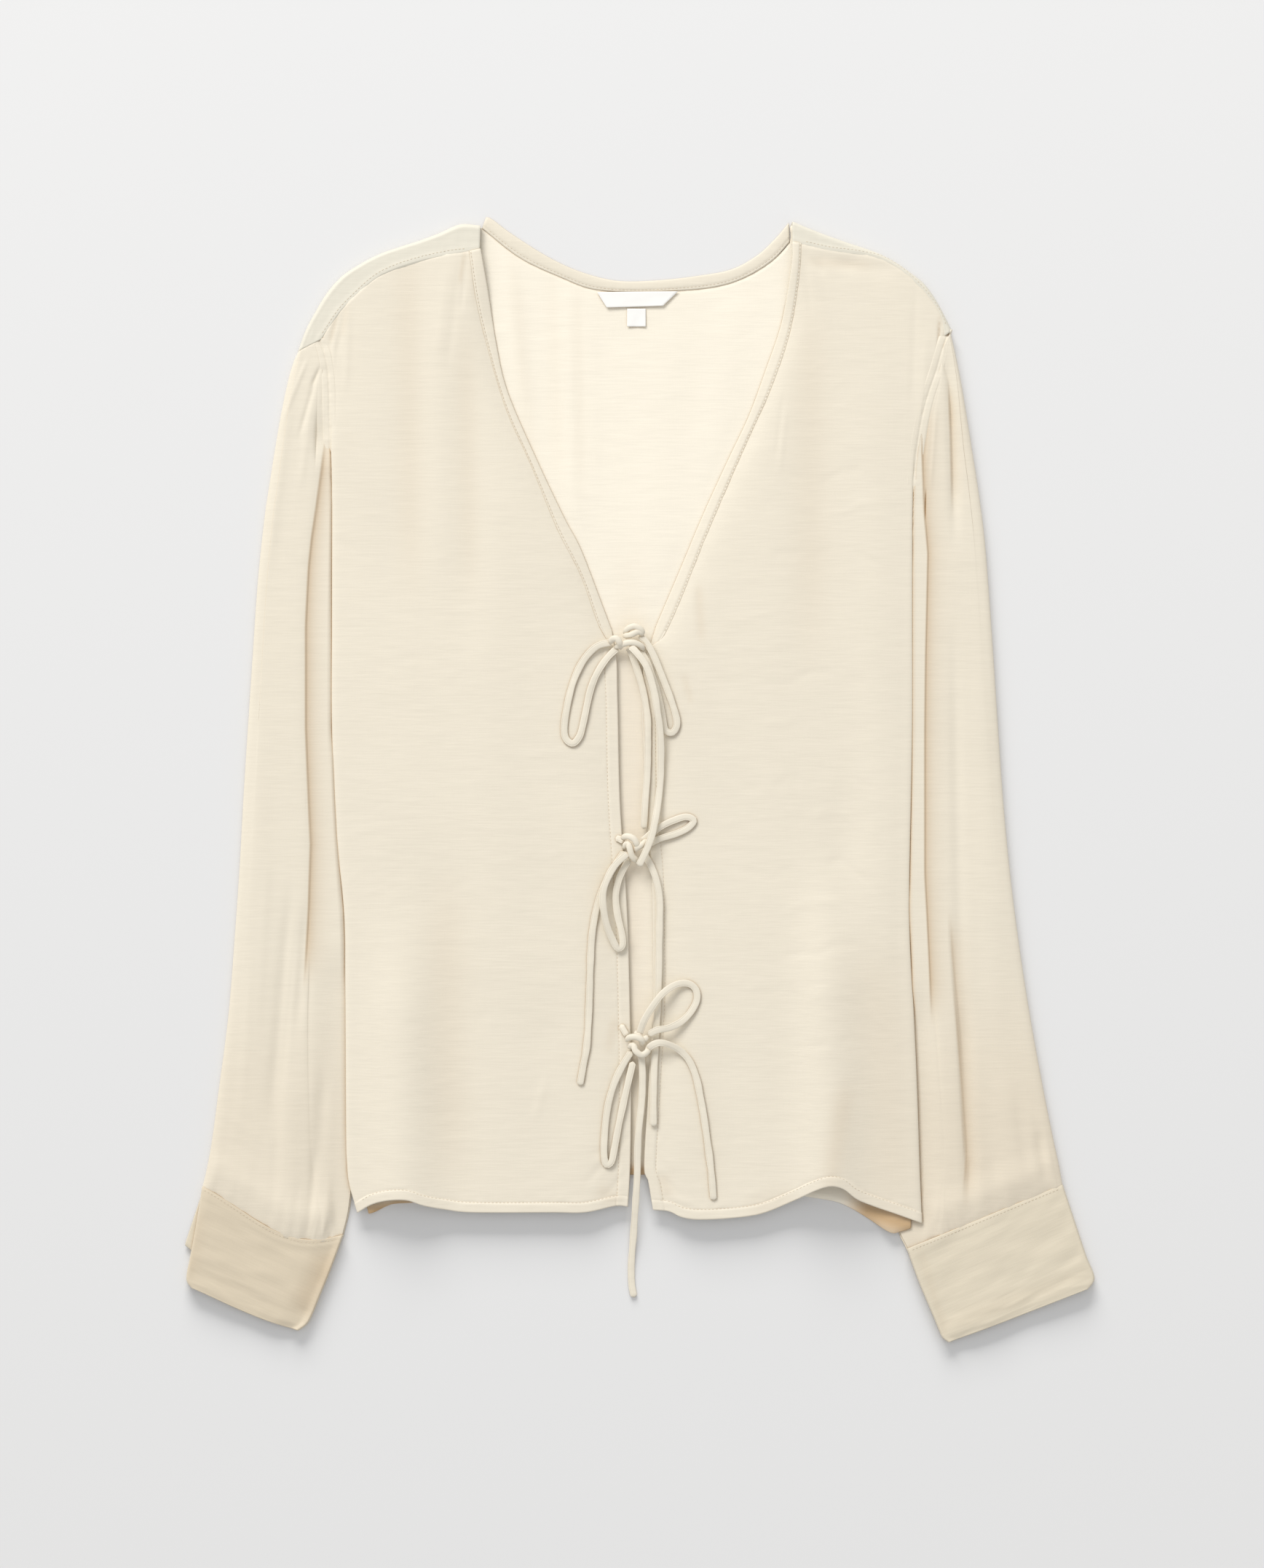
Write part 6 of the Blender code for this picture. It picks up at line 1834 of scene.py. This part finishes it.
class BLOUSE_OT_armholes(bpy.types.Operator):
    """Join each front to its sleeve along the armhole seam"""

    bl_idname = "blouse.make_armholes"
    bl_label = "Armhole seams"

    def execute(self, context):
        settings = cloth_settings()
        cloth = cloth_material("crepe_front", settings.front_colour)
        sides = (("left", LEFT_ARMHOLE, 5.5), ("right", RIGHT_ARMHOLE, 6.0))
        for side, route, reach in sides:
            front = piece("front_" + side + "_cloth")
            sleeve = piece("sleeve_" + side + "_cloth")
            grid = armhole_surface(front, sleeve, route, reach)
            cloth_object("armhole_seam_" + side, grid, 0.3, cloth, ["front_" + side])
        return {"FINISHED"}


class BLOUSE_OT_cuffs(bpy.types.Operator):
    """Make the two doubled cuffs"""

    bl_idname = "blouse.make_cuffs"
    bl_label = "Cuffs"

    def execute(self, context):
        settings = cloth_settings()
        sides = (("cuff_left", LEFT_CUFF, 31, 0.42), ("cuff_right", RIGHT_CUFF, 32, -0.42))
        for name, stations, seed, angle in sides:
            cloth = cloth_material("crepe_" + name, settings.cuff_colour, angle=angle,
                                   reach=CUFF_FOLD_REACH)
            middle, shade = cuff_surface(stations, seed, settings.crinkle_depth)
            item = cloth_object(name + "_cloth", middle, CUFF_WALL, cloth, [name],
                                closed=True, shade=shade)
            if name == "cuff_left":
                grid = plate_surface(FLAP_CORNERS, FLAP_LEVEL, FLAP_CURL)
                flap = cloth_object("cuff_left_underlap", grid, FLAP_WALL, cloth, [name])
        return {"FINISHED"}


class BLOUSE_OT_labels(bpy.types.Operator):
    """Make the bare neck label and the size tag"""

    bl_idname = "blouse.make_labels"
    bl_label = "Labels"

    def execute(self, context):
        settings = cloth_settings()
        ribbon = cloth_material("label_ribbon", settings.label_colour, slub=0.5, bump=0.2)
        label = plate_surface(LABEL_CORNERS, LABEL_LEVEL, LABEL_CURL)
        tag = plate_surface(TAG_CORNERS, TAG_LEVEL, LABEL_CURL)
        cloth_object("neck_label_ribbon", label, LABEL_WALL, ribbon, ["neck_label"])
        cloth_object("size_tag_ribbon", tag, LABEL_WALL, ribbon, ["size_tag"])
        return {"FINISHED"}


class BLOUSE_OT_ties(bpy.types.Operator):
    """Make the flat turned ties and the knots of the three bows"""

    bl_idname = "blouse.make_ties"
    bl_label = "Ties and knots"

    def execute(self, context):
        settings = cloth_settings()
        trim = context.scene.blouse_trim
        cloth = cloth_material("crepe_tie", settings.tie_colour, slub=0.7, bump=0.25)
        for place, turns in KNOT_TURNS.items():
            parts = [tube_mesh(turn, KNOT_RADIUS, KNOT_FLATNESS) for turn in turns]
            knot = joined_object("knot_" + place, parts, cloth)
            stand_in(knot, ["tie_knot_" + place])
        for number, (name, route) in enumerate(TIES.items()):
            tie, centre, length = ribbon_object(name + "_cloth", route, trim.tie_width, trim.tie_thickness,
                                                cloth, 200 + 3 * number)
            stand_in(tie, [name])
            place = name.split("_")[1]
        for number, (name, route) in enumerate(TIE_ROOTS.items()):
            root, _, _ = ribbon_object(name + "_cloth", route, ROOT_WIDTH, ROOT_THICKNESS, cloth,
                                       300 + number)
            stand_in(root, [name])
        return {"FINISHED"}


class BLOUSE_OT_stitching(bpy.types.Operator):
    """Sew the edges: threads along the V, the centre bands, the hems, the cuffs and the neck"""

    bl_idname = "blouse.make_stitching"
    bl_label = "Stitching"

    def execute(self, context):
        settings = cloth_settings()
        trim = context.scene.blouse_trim
        thread = cloth_material("sewing_thread", settings.thread_colour, slub=0.4, bump=0.1)
        size = (trim.stitch_pitch, trim.stitch_length, trim.stitch_radius)
        seams = []
        for side, front in (("left", LEFT), ("right", RIGHT)):
            inward = -1.0 if side == "left" else 1.0
            share = np.linspace(0.0, 1.0, 60)
            edge = front.v_edge.at(share)
            stitch = front.inner.at(share * front.stitched_share)
            binding = edge * 0.14 + stitch * 0.86
            seams.append(("stitches_v_" + side, piece("neck_binding_" + side + "_cloth"), binding))
            centre = front.centre.at(np.linspace(0.02, 0.985, 60)) + np.array((inward * BAND_WIDTH, 0.0))
            seams.append(("stitches_centre_" + side, piece("front_" + side + "_cloth"), centre))
            hem = front.hem.at(np.linspace(0.02, 0.98, 80)) + np.array((0.0, HEM_WIDTH))
            seams.append(("stitches_hem_" + side, piece("front_" + side + "_cloth"), hem))
            shoulder = front.seam.at(np.linspace(0.02, 0.98, 60)) + np.array((0.0, 1.9))
            seams.append(("stitches_shoulder_" + side, piece("shoulder_" + side), shoulder))
        share = np.linspace(0.02, 0.98, 80)
        neck = Line(NECK_UPPER).at(share) * 0.18 + Line(NECK_LOWER).at(share) * 0.82
        seams.append(("stitches_neck", piece("neck_binding_back_cloth"), neck))
        for side, stations in (("left", LEFT_CUFF), ("right", RIGHT_CUFF)):
            first = np.array([cuff_ring(stations[0])])
            top = first[0][first[0][:, 2] > 3.0][:, :2]
            top = top[np.argsort(top[:, 0])]
            shift = np.array((0.0, -1.6))
            seams.append(("stitches_cuff_" + side, piece("cuff_" + side + "_cloth"), top + shift))
        for name, carrier, points in seams:
            parts = stitch_parts(carrier, Line(points), *size)
            if not parts:
                raise RuntimeError(name + " found no cloth to lie on")
            item = joined_object(name, parts, thread)
            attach(item, "root")
        return {"FINISHED"}


def soft_lamp(name, place, width, height, power):
    """A large rectangular lamp that looks at the middle of the floor."""
    lamp = bpy.data.lights.new(name, "AREA")
    lamp.shape = "RECTANGLE"
    lamp.size = width
    lamp.size_y = height
    lamp.energy = power
    lamp.color = (1.0, 0.99, 0.975)
    item = bpy.data.objects.new(name, lamp)
    item.location = place
    pitch = math.atan2(math.hypot(place[0], place[1]), place[2])
    item.rotation_euler = (pitch, 0.0, math.atan2(place[0], -place[1]))
    bpy.context.scene.collection.objects.link(item)
    return item


class BLOUSE_OT_studio(bpy.types.Operator):
    """Set the floor, the lamps and the overhead camera"""

    bl_idname = "blouse.make_studio"
    bl_label = "Studio"

    def execute(self, context):
        studio = context.scene.blouse_studio
        scene = context.scene
        half = 4.0
        corners = [(-half, -half, 0.0), (half, -half, 0.0), (half, half, 0.0), (-half, half, 0.0)]
        mesh = bpy.data.meshes.new("floor")
        mesh.from_pydata(corners, [], [(0, 1, 2, 3)])
        mesh.materials.append(floor_material("pale_floor", tuple(studio.floor_colour)))
        floor = bpy.data.objects.new("floor", mesh)
        scene.collection.objects.link(floor)

        lamps = (
            ("key_lamp", (-2.8, 5.4, 4.6), 4.5, 3.0, studio.key_power, "EXCLUDE"),
            ("floor_lamp", (-1.2, 7.6, 2.1), 5.5, 2.4, studio.floor_power, "INCLUDE"),
        )
        for name, place, width, height, power, floor_state in lamps:
            lamp = soft_lamp(name, place, width, height, power)
            lit = bpy.data.collections.new(name + "_receivers")
            lit.objects.link(floor)
            lit.collection_objects[0].light_linking.link_state = floor_state
            lamp.light_linking.receiver_collection = lit

        world = scene.world or bpy.data.worlds.new("studio_room")
        scene.world = world
        world.use_nodes = True
        backdrop = world.node_tree.nodes["Background"]
        backdrop.inputs["Color"].default_value = (1.0, 1.0, 1.0, 1.0)
        backdrop.inputs["Strength"].default_value = studio.fill_strength

        camera_data = bpy.data.cameras.new("overhead_camera")
        camera_data.sensor_fit = "VERTICAL"
        camera_data.sensor_height = 36.0
        camera_data.lens = studio.lens
        camera_data.clip_end = 50.0
        camera = bpy.data.objects.new("overhead_camera", camera_data)
        distance = studio.frame_height * studio.lens / camera_data.sensor_height
        camera.location = (-0.00506, -0.00207, distance + FRONT_MID * MM)
        scene.collection.objects.link(camera)
        scene.camera = camera
        scene.view_settings.view_transform = "Standard"
        return {"FINISHED"}


MAKERS = (
    BLOUSE_OT_studio,
    BLOUSE_OT_ties,
    BLOUSE_OT_back,
    BLOUSE_OT_fronts,
    BLOUSE_OT_neck,
    BLOUSE_OT_sleeves,
    BLOUSE_OT_armholes,
    BLOUSE_OT_cuffs,
    BLOUSE_OT_labels,
    BLOUSE_OT_stitching,
)


class BLOUSE_PT_panel(bpy.types.Panel):
    """Lists the pieces of the blouse and their settings"""

    bl_label = "Blouse"
    bl_idname = "BLOUSE_PT_panel"
    bl_space_type = "VIEW_3D"
    bl_region_type = "UI"
    bl_category = "Blouse"

    def draw(self, context):
        for maker in MAKERS:
            self.layout.operator(maker.bl_idname)
        for group in (context.scene.blouse_cloth, context.scene.blouse_trim, context.scene.blouse_studio):
            box = self.layout.box()
            for key in group.bl_rna.properties.keys():
                if key not in {"rna_type", "name"}:
                    box.prop(group, key)


SETTINGS = (
    ("blouse_cloth", BlouseClothSettings),
    ("blouse_trim", BlouseTrimSettings),
    ("blouse_studio", BlouseStudioSettings),
)


def register():
    """Register the settings, the operators and the panel."""
    for name, group in SETTINGS:
        bpy.utils.register_class(group)
        setattr(bpy.types.Scene, name, bpy.props.PointerProperty(type=group))
    for maker in MAKERS:
        bpy.utils.register_class(maker)
    bpy.utils.register_class(BLOUSE_PT_panel)


def unregister():
    """Remove what register added."""
    bpy.utils.unregister_class(BLOUSE_PT_panel)
    for maker in reversed(MAKERS):
        bpy.utils.unregister_class(maker)
    for name, group in reversed(SETTINGS):
        delattr(bpy.types.Scene, name)
        bpy.utils.unregister_class(group)


def main():
    """Make every piece in order."""
    register()
    bpy.ops.blouse.make_studio()
    bpy.ops.blouse.make_ties()
    bpy.ops.blouse.make_back()
    bpy.ops.blouse.make_fronts()
    bpy.ops.blouse.make_neck()
    bpy.ops.blouse.make_sleeves()
    bpy.ops.blouse.make_armholes()
    bpy.ops.blouse.make_cuffs()
    bpy.ops.blouse.make_labels()
    bpy.ops.blouse.make_stitching()


if __name__ == "__main__":
    main()
